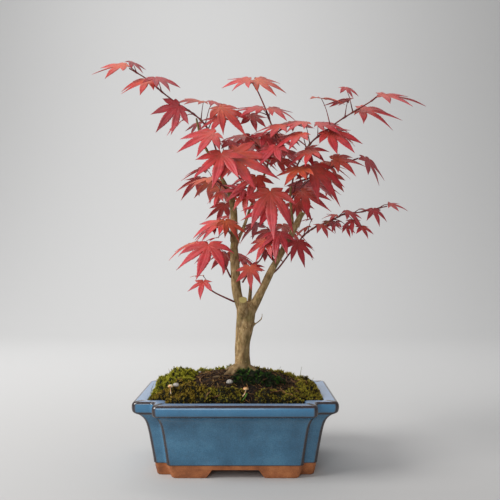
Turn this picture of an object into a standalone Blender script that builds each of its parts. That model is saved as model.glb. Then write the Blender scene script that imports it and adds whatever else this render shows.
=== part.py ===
"""A red Japanese maple bonsai in a blue glazed pot with indented corners and a bare clay foot.

Every length below is in millimetres and becomes metres where an object is made. The plant and pot
are laid out round the middle of the pot's foot: +Z is up, X runs along the pot's long side and the
front faces -Y. One empty then carries everything, so that the origin of the finished part is under
the middle of its whole box.
"""

import math

import bpy
from mathutils import Matrix, Vector
from mathutils.bvhtree import BVHTree
from mathutils.geometry import interpolate_bezier

MM = 0.001
CLEAR = 0.4  # gap kept between two touching pieces

# Pot: height, half length of the long side, half length of its front panel between the indents
FOOT_DROP = 2.5  # heights below count from this far above the table that the foot stands on
FOOT_PROFILE = [(-2.5, 76.8, 61.4), (-1.9, 77.4, 62.0), (5.0, 78.4, 64.2), (10.2, 78.8, 65.0)]
BODY_PROFILE = [(10.4, 79.8, 66.0), (20.0, 81.2, 67.2), (32.0, 83.2, 68.6), (42.0, 84.9, 70.0),
                (51.0, 87.2, 71.8), (56.0, 90.4, 74.0)]
RIM_PROFILE = [(60.0, 97.0, 76.8), (62.2, 99.4, 77.6), (66.0, 100.0, 78.0), (69.6, 99.6, 77.8),
               (71.2, 98.2, 76.8), (71.5, 96.6, 75.6)]
INSIDE_PROFILE = [(71.5, 86.6, 67.0), (70.4, 85.0, 66.0), (64.0, 83.0, 65.5), (13.0, 74.5, 60.5)]
SIDE_LESS = 25.0  # how much shorter the pot is front to back than side to side, on each half
PANEL_LESS = 20.4  # the same between the side panels and the front panels
CORNER_RADIUS = 4.5
CORNER_STEPS = 2
FOOT_GAP_HEIGHT = 5.8
FRONT_GAP_HALF = (28.4, 22.5)  # half width between the feet, at the table and under the pot
SIDE_GAP_HALF = (20.0, 16.5)
RECESS_HALF = (58.0, 36.0)
DRAIN_X = 42.0
DRAIN_RADIUS = 10.0
DRAIN_SIDES = 20
DRAIN_CUT = (2.0, 20.0)  # from below the pot's floor to above it
CUT_LOW = -6.0  # cutters start below the foot
CUT_HALF = 110.0  # and reach out past its walls

# Mesh screens and wire staples that cover the two drain holes
SCREEN_HALF = 14.0
SCREEN_CELLS = 7
SCREEN_THICK = 1.0
SCREEN_ROOM_HALF = 16.0  # space left in the soil round each screen and its wire
SCREEN_ROOM_HEIGHT = (5.0, 18.0)
WIRE_RADIUS = 0.75

# Ground: soil heaped round the trunk
TRUNK_X = 6.0
SOIL_EDGE = 69.0
SOIL_RISE = 22.0
SOCKET_RADIUS = 12.6
SOCKET_FLOOR = 60.0
SOIL_RINGS = [1.0, 0.88, 0.74, 0.6, 0.45, 0.3]
EDGE_STEP = 18.0

# Moss cushions: bearing range round the trunk, ring range of the soil, thickness, colour
MOSS = {
    "moss_left_bright": (152, 203, 0, 3, 11.0, (0.33, 0.38, 0.02)),
    "moss_left_gold": (206, 228, 0, 2, 6.5, (0.26, 0.22, 0.02)),
    "moss_front": (230, 284, 0, 2, 5.0, (0.14, 0.15, 0.01)),
    "moss_centre_dark": (255, 330, 3, 5, 6.5, (0.03, 0.09, 0.006)),
    "moss_right_front": (288, 326, 0, 2, 7.0, (0.12, 0.13, 0.01)),
    "moss_right_side": (330, 388, 0, 2, 8.5, (0.11, 0.12, 0.01)),
    "moss_back_right": (32, 86, 0, 3, 8.0, (0.10, 0.14, 0.01)),
    "moss_back_left": (92, 146, 0, 3, 8.5, (0.16, 0.22, 0.01)),
}

# Small things on the ground: place, and half sizes of a pebble or the rise and lean of a toadstool
PEBBLES = {
    "pebble_left": (-58, -45, (3.4, 3.0, 2.4)),
    "pebble_centre": (-6, -37, (3.6, 3.0, 2.8)),
    "pebble_back": (-40, 18, (1.6, 1.4, 1.2)),
}
TOADSTOOLS = {
    "mushroom_left": (-62.5, -52, 7.0, -0.5),
    "mushroom_centre": (7, -56, 6.5, 3.0),
}
CAP_RADIUS = 2.9
CAP_STALK_RADIUS = 0.7

# Grown wood: centre line and radius at each of its points
TRUNK = [((6, 0, 61), 9.0), ((6, 0, 76), 10.5), ((6, 0, 90), 10.8), ((6, 0, 97), 8.6),
         ((6, 0, 108), 7.7), ((6.5, 0, 121), 7.9), ((8, 0, 133), 8.9), ((9.5, 0, 146), 9.8),
         ((10, 0, 157), 10.2), ((10, 0, 164), 8.0)]
LEFT_LIMB = [((7, 0, 150), 5.5), ((1, -1, 172), 5.0), ((-1, -2, 188), 4.9), ((-2, -2, 206), 4.8),
             ((-3, 0, 224), 4.1), ((-3, 2, 246), 4.1), ((-3.5, 4, 262), 3.9), ((-6, 4, 276), 3.3),
             ((-11, 4, 286), 2.4), ((-18, 4, 299), 2.0), ((-28, 4, 318), 1.7), ((-36, 3, 333), 1.5),
             ((-40, 2, 345), 1.3), ((-43, 0, 359), 1.1)]
RIGHT_LIMB = [((13, 0, 150), 5.5), ((27, -2, 177), 4.2), ((37, -3, 198), 3.8), ((49, -4, 219), 3.4),
              ((59, -5, 238), 3.1), ((66, -5, 252), 3.0), ((70, -5, 259), 2.9)]
FRONT_STUB = [((8, -2, 146), 4.8), ((7, -11, 155), 4.6), ((7, -16, 163), 4.3), ((7, -18, 169), 4.1)]
BACK_STUB = [((13, 6, 153), 3.0), ((14, 9, 170), 2.1), ((15, 9, 182), 1.9)]
DEAD_TWIG = [((15, 0, 136), 1.4), ((20, 0, 141), 0.9), ((26, -1, 146), 0.8), ((27, 0, 152), 0.6)]
RIGHT_TWIG = [((58, -4, 236), 2.0), ((59, 3, 251), 1.7), ((58, 6, 264), 1.5), ((57, 6, 277), 1.4),
              ((58, 4, 287), 1.2)]
CENTRE_TWIG = [((-2, 1, 218), 2.2), ((2, 5, 230), 1.8), ((8, 5, 245), 1.7), ((14, 3, 262), 1.6),
               ((20, 0, 277), 1.5), ((27, -2, 292), 1.4), ((33, -2, 310), 1.3), ((38, -2, 323), 1.2),
               ((45, -3, 332), 1.0)]
SIDE_STUB = [((62, -5, 244), 2.4), ((66, -5, 245), 2.0)]
ROOTS = [
    [(3, -4, 99), (-12, -14, 95), (-25, -20, 92), (-36, -27, 88)],
    [(4, 4, 98), (-14, 14, 95), (-34, 22, 92)],
    [(9, 4, 98), (28, 13, 93), (46, 20, 89)],
    [(9, -3, 97), (30, -7, 93), (50, -9, 89), (62, -14, 86)],
    [(2, -5, 97), (-5, -19, 93), (-16, -31, 88)],
]
ROOT_RADIUS = 2.6

# Young shoots: the route of each one, starting inside the wood that bears it
SHOOTS = {
    "upper_left": [(-16, 4, 295), (-19, 0, 314), (-25, -4, 334), (-33, -7, 350), (-45, -9, 361),
                   (-61, -11, 371), (-76, -12, 382), (-94, -13, 397), (-112, -13, 408)],
    "top": [(43, -3, 329), (40, -3, 343), (36, -3, 353), (32, -4, 364), (27, -4, 376),
            (22, -4, 387), (16, -5, 396)],
    "upper_right": [(58, 4, 284), (62, 0, 303), (70, -4, 319), (79, -8, 332), (92, -10, 342),
                    (108, -10, 354), (127, -9, 366), (140, -8, 374), (149, -4, 381)],
    "right": [(58, 5, 282), (65, 3, 291), (74, 2, 294), (86, 0, 299), (100, -2, 306),
              (116, -3, 311), (128, -4, 315)],
    "right_inner": [(57, 6, 275), (62, 12, 283), (63, 14, 290)],
    "front": [(27, -2, 291), (11, -12, 283), (2, -30, 293), (-5, -40, 300), (-11, -46, 307)],
    "inner": [(35, -2, 315), (29, 6, 326), (20, 16, 333)],
    "centre": [(26, -2, 289), (24, -14, 284), (28, -26, 279), (32, -38, 276)],
    "left": [(-8, 4, 279), (-14, -3, 286), (-21, -5, 291)],
    "left_middle": [(-3, 0, 230), (-8, -10, 238), (-12, -14, 244)],
    "left_front": [(-2, -4, 184), (-7, -9, 192), (-11, -13, 201), (-16, -20, 212), (-23, -32, 221)],
    "left_low": [(3, -4, 162), (-12, -9, 169), (-22, -11, 174), (-29, -13, 179), (-33, -14, 184)],
    "fork": [(1, -1, 176), (11, -5, 192), (18, -8, 201), (26, -9, 210), (30, -11, 222)],
    "limb": [(47, -4, 216), (48, 5, 223), (52, 11, 230)],
    "right_low": [(32, -2, 189), (44, 8, 199), (57, 9, 216), (64, 7, 225), (71, 3, 234),
                  (80, 0, 241), (89, -3, 245), (102, -3, 251), (115, -4, 257), (127, -3, 258),
                  (142, -4, 261), (159, 0, 265)],
    "back_left": [(-6, 4, 273), (-14, 22, 282), (-26, 42, 296), (-36, 58, 304)],
    "back_top": [(34, -2, 312), (32, 16, 322), (28, 36, 338), (24, 52, 350)],
    "back_right": [(57, 6, 270), (66, 24, 284), (80, 42, 298), (94, 56, 306)],
    "back_middle": [(46, -4, 213), (44, 14, 224), (38, 34, 238), (34, 50, 246)],
    "back_low": [(-1, -2, 195), (-6, 16, 206), (-14, 34, 218)],
}
SHOOT_RADIUS = (1.15, 0.75)

# Small solids inside the wood, which only start the Boolean that makes one body of it
PITH_RADIUS = 3.0
PITH_HEIGHTS = (66, 80)
BUD_RADIUS = 0.5

# Leaves: x, y, z of the stalk's end, bearing and dip of the middle lobe, lean to one side, length
LEAVES = {
    "upper_left": [(-116, -18, 410, 195, 15, 30, 33), (-110, -8, 415, 330, 35, -10, 20),
                   (-90, -20, 392, 215, 25, 25, 32), (-82, -14, 394, 320, 30, -15, 30),
                   (-59, -22, 366, 195, 42, 70, 32), (-35, -5, 375, 190, -5, 20, 30),
                   (-26, 6, 378, 345, 25, -15, 30), (-60, 10, 358, 210, 35, 0, 20),
                   (-43, 4, 356, 240, 50, 0, 18), (-15, -5, 356, 200, 20, 30, 30),
                   (-13, -12, 363, 330, 40, -30, 38)],
    "top": [(13, -6, 398, 185, 8, 35, 30), (21, -2, 399, 350, 15, -35, 34),
            (25, -6, 368, 185, 5, 25, 34), (36, -4, 368, 350, 15, -25, 30),
            (15, 5, 365, 290, 50, 0, 28), (33, 5, 345, 185, 5, 20, 25),
            (49, 10, 343, 0, 10, -20, 30), (51, -5, 324, 300, 30, 0, 26),
            (56, 8, 356, 320, 15, -20, 30), (46, -18, 347, 200, 20, 20, 32),
            (30, -20, 341, 300, 40, 0, 30), (40, -22, 322, 230, 40, 10, 32),
            (44, -14, 312, 320, 35, -10, 34)],
    "upper_right": [(71, -15, 351, 190, 5, 20, 33), (85, -8, 350, 355, 5, -25, 32),
                    (88, -18, 371, 300, 15, 0, 30), (115, -5, 390, 290, 40, 0, 19),
                    (131, -14, 368, 350, 8, -30, 45), (154, -2, 383, 355, 8, -25, 45),
                    (96, -20, 341, 325, 35, -30, 40), (72, -14, 322, 320, 20, -40, 28),
                    (66, -25, 336, 200, 25, 20, 34), (120, -10, 374, 190, 10, 0, 26),
                    (98, -4, 347, 20, 10, -20, 32)],
    "right": [(102, -8, 313, 355, 0, -40, 34), (136, -4, 315, 320, 55, 0, 32),
              (78, -16, 305, 330, 45, -30, 44), (64, -30, 300, 235, 30, 10, 32),
              (84, -26, 322, 210, 25, 15, 34)],
    "right_inner": [(69, -5, 280, 330, 30, -35, 36), (64, 15, 289, 300, 50, 0, 22)],
    "front": [(-14, -50, 312, 262, 55, 0, 42), (-4, -42, 311, 345, 25, -45, 55),
              (-22, -35, 334, 200, 20, 35, 42), (-8, -30, 329, 340, 35, -20, 30),
              (14, -30, 318, 330, 35, -10, 36)],
    "inner": [(14, 20, 334, 270, 30, 0, 28), (20, -8, 322, 200, 30, 20, 30), (6, 6, 342, 200, 15, 20, 30)],
    "centre": [(34, -45, 275, 275, 65, 0, 44), (34, -34, 262, 200, 25, 40, 34),
               (7, -20, 280, 190, 5, 40, 28), (10, -24, 277, 260, 60, 0, 24),
               (7, 5, 294, 190, 25, 0, 22), (20, -24, 292, 250, 45, 10, 34)],
    "left": [(-26, -6, 294, 185, 10, 15, 36), (-18, -8, 278, 235, 50, 0, 18)],
    "left_middle": [(-15, -14, 247, 190, 12, 25, 32), (-5, 4, 254, 175, 0, 20, 14),
                    (-11, -20, 244, 320, 40, -10, 27), (-19, -18, 231, 190, 10, 0, 16),
                    (-24, -6, 242, 200, 25, 10, 24)],
    "left_front": [(-27, -40, 223, 263, 40, 0, 45), (-42, -10, 226, 190, 20, 10, 30)],
    "left_low": [(-34, -15, 186, 255, 45, 0, 22), (-35, -10, 192, 180, 0, 0, 14)],
    "fork": [(14, -14, 201, 270, 65, 0, 24), (10, -6, 206, 200, -20, 0, 12),
             (16, -4, 201, 10, -10, -40, 15), (31, -12, 229, 235, 50, 10, 27)],
    "limb": [(52, 8, 232, 190, 10, 30, 30), (60, 4, 227, 290, 60, 0, 28),
             (67, 0, 226, 330, 35, -15, 20), (36, 14, 219, 300, 40, 0, 24),
             (44, -8, 236, 250, 45, 10, 30)],
    "right_low": [(88, -6, 245, 300, 35, 0, 19), (80, 4, 252, 170, 5, 0, 14),
                  (115, -5, 259, 320, 35, -10, 20), (105, 0, 255, 185, 0, 20, 16),
                  (143, -5, 261, 290, 50, 0, 21), (162, 2, 267, 350, 10, -25, 20),
                  (131, -8, 243, 290, 45, 0, 18), (116, -2, 244, 280, 50, 0, 13),
                  (105, 6, 249, 250, 40, 0, 16), (76, 6, 244, 200, 30, 0, 18),
                  (98, 4, 250, 300, 30, 0, 18), (122, -6, 250, 250, 45, 0, 18),
                  (134, 0, 262, 20, 5, -20, 16)],
    "back_left": [(-30, 50, 300, 100, 30, 0, 36), (-44, 64, 304, 140, 25, 0, 34),
                  (-20, 46, 290, 60, 35, 0, 32), (-36, 40, 312, 170, 20, 0, 30),
                  (-14, 30, 270, 120, 40, 0, 28)],
    "back_top": [(26, 46, 346, 90, 20, 0, 34), (14, 58, 352, 130, 30, 0, 32),
                 (40, 52, 352, 50, 25, 0, 34), (30, 30, 330, 10, 35, 0, 28),
                 (16, 34, 334, 170, 35, 0, 30), (46, 24, 330, 320, 30, 0, 30),
                 (4, 22, 318, 230, 35, 0, 30)],
    "back_right": [(88, 50, 302, 40, 25, 0, 38), (104, 60, 308, 80, 30, 0, 34),
                   (74, 46, 296, 110, 30, 0, 34), (98, 40, 318, 10, 20, 0, 32),
                   (66, 30, 272, 70, 45, 0, 30)],
    "back_middle": [(36, 44, 242, 90, 25, 0, 34), (22, 52, 250, 140, 30, 0, 32),
                    (52, 50, 248, 40, 30, 0, 34), (30, 28, 232, 180, 40, 0, 28)],
    "back_low": [(-12, 32, 216, 100, 35, 0, 32), (-26, 40, 222, 150, 25, 0, 30),
                 (0, 38, 214, 50, 35, 0, 30)],
}
# Lobes of a leaf: angle from the middle lobe and length as a share of it
LARGE_LOBES = [(-112, 0.34), (-75, 0.64), (-37, 0.88), (0, 1.0), (37, 0.88), (75, 0.64), (112, 0.34)]
SMALL_LOBES = [(-92, 0.45), (-46, 0.82), (0, 1.0), (46, 0.82), (92, 0.45)]
SMALL_LEAF = 24
BLADE_THICK = 1.0
VALLEY = 0.25
DROOP = 0.3
STALK_RADIUS = 0.7
SHIFT_STEP = 4
MOST_SHIFTS = (3, 8, 3)  # along x, y and z

GLAZE = ("pot_glaze", (0.045, 0.125, 0.22), 0.2)
SCREEN_PLASTIC = ("black_mesh", (0.02, 0.02, 0.02), 0.6)
WIRE_METAL = ("aluminium_wire", (0.25, 0.12, 0.06), 0.4)
SOIL = ("soil", (0.03, 0.017, 0.009), 0.95)
BARK = ("maple_bark", (0.17, 0.12, 0.06), 0.8)
STONE = ("pale_stone", (0.45, 0.43, 0.38), 0.6)
MUSHROOM = ("mushroom_flesh", (0.42, 0.3, 0.17), 0.6)
LEAF_RED = ("maple_leaf", (0.3, 0.02, 0.02), 0.55)


def clear_scene():
    for old in list(bpy.data.objects):
        bpy.data.objects.remove(old, do_unlink=True)


# A shape is a list of corner points and a list of faces, in millimetres.

def joined(shapes):
    points, faces = [], []
    for more_points, more_faces in shapes:
        start = len(points)
        points += more_points
        faces += [tuple(start + i for i in face) for face in more_faces]
    return points, faces


def loft(loops, triangles=False):
    """The solid through a stack of equal loops, each anticlockwise from above, lowest first."""
    count = len(loops[0])
    points = [Vector(p) for loop in loops for p in loop]
    faces = [tuple(reversed(range(count)))]
    for k in range(len(loops) - 1):
        low, high = k * count, (k + 1) * count
        for i in range(count):
            j = (i + 1) % count
            if triangles:
                faces += [(low + i, low + j, high + i), (low + j, high + j, high + i)]
            else:
                faces.append((low + i, low + j, high + j, high + i))
    faces.append(tuple(range((len(loops) - 1) * count, len(loops) * count)))
    return points, faces


def smooth_route(points, step):
    """Points about one step apart along a smooth curve through the given ones."""
    ends = [Vector(p) for p in points]
    ways = []
    for i in range(len(ends)):
        before, after = ends[max(i - 1, 0)], ends[min(i + 1, len(ends) - 1)]
        ways.append((after - before) / (1 if i in (0, len(ends) - 1) else 2))
    route = [ends[0]]
    for a, b, way_a, way_b in zip(ends, ends[1:], ways, ways[1:]):
        parts = max(1, round((b - a).length / step))
        route += interpolate_bezier(a, a + way_a / 3, b - way_b / 3, b, parts + 1)[1:]
    return route


def tube(route, radii, sides):
    """A closed tube along a route, its radius running through the given ones."""
    loops = []
    way = (route[1] - route[0]).normalized()
    side = way.orthogonal().normalized()
    for i, centre in enumerate(route):
        way = (route[min(i + 1, len(route) - 1)] - route[max(i - 1, 0)]).normalized()
        side = (side - way * side.dot(way)).normalized()
        up = way.cross(side)
        place = i / (len(route) - 1) * (len(radii) - 1)
        low = min(int(place), len(radii) - 2)
        radius = radii[low] + (radii[low + 1] - radii[low]) * (place - low)
        turns = [2 * math.pi * k / sides for k in range(sides)]
        loops.append([centre + radius * (math.cos(t) * side + math.sin(t) * up) for t in turns])
    return loft(loops)


def limb(points, step, sides):
    """A length of wood through (centre, radius) points."""
    route = smooth_route([centre for centre, radius in points], step)
    centres = [Vector(centre) for centre, radius in points]
    radii = []
    for p in route:
        near = min(range(len(centres) - 1), key=lambda i: chord_distance(p, centres[i], centres[i + 1]))
        a, b = centres[near], centres[near + 1]
        share = min(max((p - a).dot(b - a) / (b - a).length_squared, 0), 1)
        radii.append(points[near][1] * (1 - share) + points[near + 1][1] * share)
    return tube(route, radii, sides)


def chord_distance(p, a, b):
    share = min(max((p - a).dot(b - a) / (b - a).length_squared, 0), 1)
    return (p - a - (b - a) * share).length


# Pot

def notched_corners(side_x, panel_x, grow=0.0):
    """The twelve sharp corners of the pot's plan, anticlockwise."""
    side_y, panel_y = side_x - SIDE_LESS, panel_x - PANEL_LESS
    quarter = [(side_x + grow, panel_y + grow), (panel_x + grow, panel_y + grow),
               (panel_x + grow, side_y + grow)]
    corners = []
    for sx, sy in ((1, 1), (-1, 1), (-1, -1), (1, -1)):
        turned = [Vector((sx * x, sy * y)) for x, y in quarter]
        corners += turned if sx * sy > 0 else turned[::-1]
    return corners


def rounded(corners, radius, steps):
    """Each sharp corner replaced by an arc that starts one radius before it."""
    outline = []
    for i, corner in enumerate(corners):
        to_last = (corners[i - 1] - corner).normalized() * radius
        to_next = (corners[(i + 1) % len(corners)] - corner).normalized() * radius
        centre = corner + to_last + to_next
        for k in range(steps + 1):
            turn = math.pi / 2 * k / steps
            outline.append(centre - to_next * math.cos(turn) - to_last * math.sin(turn))
    return outline


def pot_loop(height, side_x, panel_x):
    outline = rounded(notched_corners(side_x, panel_x), CORNER_RADIUS, CORNER_STEPS)
    return [Vector((p.x, p.y, height)) for p in outline]


def pot_shape():
    profile = FOOT_PROFILE + BODY_PROFILE + RIM_PROFILE + INSIDE_PROFILE
    return loft([pot_loop(*level) for level in profile])


def box(low, high):
    corners = [(low[0], low[1]), (high[0], low[1]), (high[0], high[1]), (low[0], high[1])]
    return loft([[Vector((x, y, z)) for x, y in corners] for z in (low[2], high[2])])


def gap_cutter(half_widths, along_x):
    """The slanted gap between two feet, run right through under the pot."""
    at_table, under_pot = half_widths
    slant = (at_table - under_pot) / (FOOT_GAP_HEIGHT + FOOT_DROP)
    loops = []
    for z, half in ((CUT_LOW, at_table + slant * (-FOOT_DROP - CUT_LOW)), (FOOT_GAP_HEIGHT, under_pot)):
        x, y = (CUT_HALF, half) if along_x else (half, CUT_HALF)
        loops.append([Vector((-x, -y, z)), Vector((x, -y, z)), Vector((x, y, z)), Vector((-x, y, z))])
    return loft(loops)


def ring(centre, radius, height, sides):
    turns = [2 * math.pi * k / sides for k in range(sides)]
    return [Vector((centre[0] + radius * math.cos(t), centre[1] + radius * math.sin(t), height))
            for t in turns]


def screen_shape(middle_x):
    """A square of mesh: a plate with a grid of square holes."""
    cell = 2 * SCREEN_HALF / SCREEN_CELLS
    low = INSIDE_PROFILE[-1][0] + CLEAR
    count = SCREEN_CELLS + 1
    points, faces = [], []
    for z in (low, low + SCREEN_THICK):
        points += [Vector((middle_x - SCREEN_HALF + i * cell, -SCREEN_HALF + j * cell, z))
                   for j in range(count) for i in range(count)]
    solid = {(i, j) for j in range(SCREEN_CELLS) for i in range(SCREEN_CELLS) if i % 2 == 0 or j % 2 == 0}
    top = count * count
    for i, j in sorted(solid):
        a, b, c, d = j * count + i, j * count + i + 1, (j + 1) * count + i + 1, (j + 1) * count + i
        faces += [(a, d, c, b), (a + top, b + top, c + top, d + top)]
        for (u, v), beside in (((a, b), (i, j - 1)), ((b, c), (i + 1, j)), ((c, d), (i, j + 1)),
                               ((d, a), (i - 1, j))):
            if beside not in solid:
                faces.append((u, v, v + top, u + top))
    used = sorted({i for face in faces for i in face})
    place = {old: new for new, old in enumerate(used)}
    return [points[i] for i in used], [tuple(place[i] for i in face) for face in faces]


def wire_shape(middle_x):
    """A staple of wire: two legs through the screen and the hole, bent out under the pot."""
    cell = 2 * SCREEN_HALF / SCREEN_CELLS
    top = INSIDE_PROFILE[-1][0] + CLEAR + SCREEN_THICK + CLEAR + WIRE_RADIUS
    foot = FOOT_GAP_HEIGHT - CLEAR - WIRE_RADIUS
    leg = 2 * cell
    half = [(leg, top), (leg, foot), (leg + 9, foot)]
    route = [Vector((middle_x - x, 0, z)) for x, z in reversed(half)]
    route += [Vector((middle_x + x, 0, z)) for x, z in half]
    return tube(route, [WIRE_RADIUS, WIRE_RADIUS], 6)


# Ground

def soil_height(x, y):
    share = (abs(x / 84.0) ** 4 + abs(y / 59.0) ** 4) ** 0.25
    return SOIL_EDGE + SOIL_RISE * max(0.0, 1 - share ** 2)


def soil_edge():
    """The soil's outline inside the pot: straight runs in short steps, the outer corners cut."""
    side_x, panel_x = INSIDE_PROFILE[2][1:]
    corners = notched_corners(side_x, panel_x, -2 * CLEAR)
    outline = []
    for i, corner in enumerate(corners):
        last, following = corners[i - 1], corners[(i + 1) % len(corners)]
        outer = (corner - last).cross(following - corner) > 0
        cut = 3.6 if outer else 0.0
        ends = [corner + (last - corner).normalized() * cut, corner]
        if outer:
            ends[1] = corner + (following - corner).normalized() * cut
        outline += ends if outer else [corner]
        start = ends[1]
        run = following - start
        parts = int(run.length // EDGE_STEP)
        outline += [start + run * k / (parts + 1) for k in range(1, parts + 1)]
    return outline


def ground_rings():
    """Rings of the soil's surface, from the pot's edge in to the hole that the trunk stands in."""
    middle = Vector((TRUNK_X, 0))
    rings = []
    for share in SOIL_RINGS:
        loop = [middle + (p - middle) * share for p in soil_edge()]
        rings.append([Vector((p.x, p.y, soil_height(p.x, p.y))) for p in loop])
    return rings


def socket_ring(radius, height):
    middle = Vector((TRUNK_X, 0))
    loop = [middle + (p - middle).normalized() * radius for p in soil_edge()]
    return [Vector((p.x, p.y, height)) for p in loop]


def soil_shape():
    low, narrow = INSIDE_PROFILE[-1][0] + CLEAR, INSIDE_PROFILE[-1][1] - 3 * CLEAR
    wide = INSIDE_PROFILE[2][1] - 2 * CLEAR
    shares = (narrow / wide, (narrow - SIDE_LESS) / (wide - SIDE_LESS))
    bottom = [Vector((p.x * shares[0], p.y * shares[1], low)) for p in soil_edge()]
    shoulder = [Vector((p.x, p.y, INSIDE_PROFILE[2][0])) for p in soil_edge()]
    surface = soil_height(TRUNK_X + SOCKET_RADIUS, 0)
    socket = [socket_ring(SOCKET_RADIUS, surface), socket_ring(SOCKET_RADIUS - 1, SOCKET_FLOOR)]
    return loft([bottom, shoulder] + ground_rings() + socket, triangles=True)


def moss_shape(bearing_from, bearing_to, ring_from, ring_to, thick):
    """A cushion over a range of the soil's cells: swollen in the middle, thin at its edges."""
    rings = ground_rings()
    middle = Vector((TRUNK_X, 0, 0))
    columns = []
    for j, p in enumerate(rings[0]):
        bearing = math.degrees(math.atan2(p.y - middle.y, p.x - middle.x)) % 360
        for turned in (bearing, bearing + 360):
            if bearing_from <= turned <= bearing_to:
                columns.append((turned, j))
    columns = [j for turned, j in sorted(columns)]
    across, along = ring_to - ring_from, len(columns) - 1
    under, over = [], []
    for a in range(ring_from, ring_to + 1):
        for b, j in enumerate(columns):
            base = rings[a][j] + Vector((0, 0, CLEAR))
            share = (a - ring_from) / across
            swell = math.sin(math.pi * min(0.98, 0.16 + 0.8 * share)) * math.sin(
                math.pi * (0.12 + 0.76 * b / along))
            under.append(base)
            over.append(base + Vector((0, 0, 1.0 + thick * max(0.0, swell))))
    width = along + 1
    total = width * (across + 1)
    faces = []
    for a in range(across):
        for b in range(along):
            q = (a * width + b, a * width + b + 1, (a + 1) * width + b + 1, (a + 1) * width + b)
            faces += [(q[0], q[3], q[1]), (q[1], q[3], q[2])]
            faces += [(q[0] + total, q[1] + total, q[3] + total), (q[1] + total, q[2] + total, q[3] + total)]
    border = [b for b in range(width)]
    border += [a * width + along for a in range(1, across + 1)]
    border += [across * width + b for b in range(along - 1, -1, -1)]
    border += [a * width for a in range(across - 1, 0, -1)]
    for u, v in zip(border, border[1:] + border[:1]):
        faces.append((u, v, v + total, u + total))
    return under + over, faces


def surface_height(trees, x, y, reach):
    """The highest ground within reach of a place."""
    highest = 0.0
    for dx in (-reach, 0, reach):
        for dy in (-reach, 0, reach):
            for tree in trees:
                hit = tree.ray_cast(Vector((x + dx, y + dy, 300)), Vector((0, 0, -1)))[0]
                highest = max(highest, hit.z if hit else 0.0)
    return highest


def pebble_shape(x, y, z, half):
    loops = []
    for k in range(1, 5):
        turn = math.pi * k / 5
        loops.append([Vector((x + half[0] * math.sin(turn) * math.cos(t),
                              y + half[1] * math.sin(turn) * math.sin(t),
                              z - half[2] * math.cos(turn)))
                      for t in [2 * math.pi * i / 10 for i in range(8)]])
    return loft(loops)


def mushroom_shape(foot, head, cap_radius, stalk_radius):
    """A tiny toadstool: a thin bent stalk that swells into a domed cap."""
    foot, head = Vector(foot), Vector(head)
    bend = foot.lerp(head, 0.5) + Vector((1.0, -0.6, 0.6))
    route = smooth_route([foot, bend, head], (head - foot).length / 6)
    way = (route[-1] - route[-2]).normalized()
    route += [head + way * step for step in (0.2, 1.2, 2.0, 2.4)]
    radii = [stalk_radius] * (len(route) - 4) + [cap_radius, cap_radius * 0.92, cap_radius * 0.55, 0.2]
    return tube(route, radii, 8)


# Leaves

def leaf_axes(bearing, dip, lean):
    """Directions of a leaf: along its middle lobe, to its left, and out of its upper face."""
    turn, fall = math.radians(bearing), math.radians(dip)
    along = Vector((math.cos(turn) * math.cos(fall), math.sin(turn) * math.cos(fall), -math.sin(fall)))
    level = Vector((-math.sin(turn), math.cos(turn), 0))
    face = Matrix.Rotation(math.radians(-lean), 3, along) @ along.cross(level)
    return along, face.cross(along), face


def blade_shape(stalk_end, bearing, dip, lean, length, thick):
    """A closed star: two fans from the stalk's end share one outline of narrow pointed lobes."""
    along, left, face = leaf_axes(bearing, dip, lean)
    lobes = LARGE_LOBES if length >= SMALL_LEAF else SMALL_LOBES
    polar = [(-158, 0.07)]
    for (angle, share), (following, more) in zip(lobes, lobes[1:]):
        polar += [(angle, share), ((angle + following) / 2, VALLEY)]
    polar += [lobes[-1], (158, 0.07)]
    outline = []
    for angle, share in polar:
        turn = math.radians(angle)
        reach = length * share
        place = stalk_end + reach * (math.cos(turn) * along + math.sin(turn) * left)
        outline.append(place - Vector((0, 0, DROOP * reach * share)))
    count = len(outline)
    points = outline + [stalk_end + face * thick / 2, stalk_end - face * thick / 2]
    faces = []
    for i in range(count):
        j = (i + 1) % count
        faces += [(count, i, j), (count + 1, j, i)]
    return points, faces


def stalk_shape(route, stalk_end, radius):
    """The leaf's stalk, leaving the shoot a little below the nearest place and arching up."""
    near = min(range(len(route)), key=lambda i: (route[i] - stalk_end).length)
    start = route[min(max(near - 3, 3), len(route) - 1)]
    bend = start.lerp(stalk_end, 0.5) + Vector((0, 0, 0.12 * (stalk_end - start).length))
    return tube(smooth_route([start, bend, stalk_end], 16), [radius, radius * 0.8], 3)


def tree_of(shape):
    return BVHTree.FromPolygons(shape[0], shape[1])


def meets(tree, others):
    return any(tree.overlap(other) for other in others)


def shifts():
    """Small moves of a leaf, the least noticeable first: mostly to the front or back."""
    found = []
    for i in range(-MOST_SHIFTS[0], MOST_SHIFTS[0] + 1):
        for j in range(-MOST_SHIFTS[1], MOST_SHIFTS[1] + 1):
            for k in range(-MOST_SHIFTS[2], MOST_SHIFTS[2] + 1):
                found.append((3 * abs(i) + abs(j) + 3 * abs(k), i, j, k))
    return [SHIFT_STEP * Vector((i, j, k)) for cost, i, j, k in sorted(found)]


def trimmed(route, wood, radius):
    """The route from where it has come out of the wood that bears it."""
    start = 0
    for i, p in enumerate(route):
        inside = wood.find_nearest(p)
        if inside[3] < radius + CLEAR or (p - inside[0]).dot(inside[1]) < 0:
            start = i + 1
    return route[start:]


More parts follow.
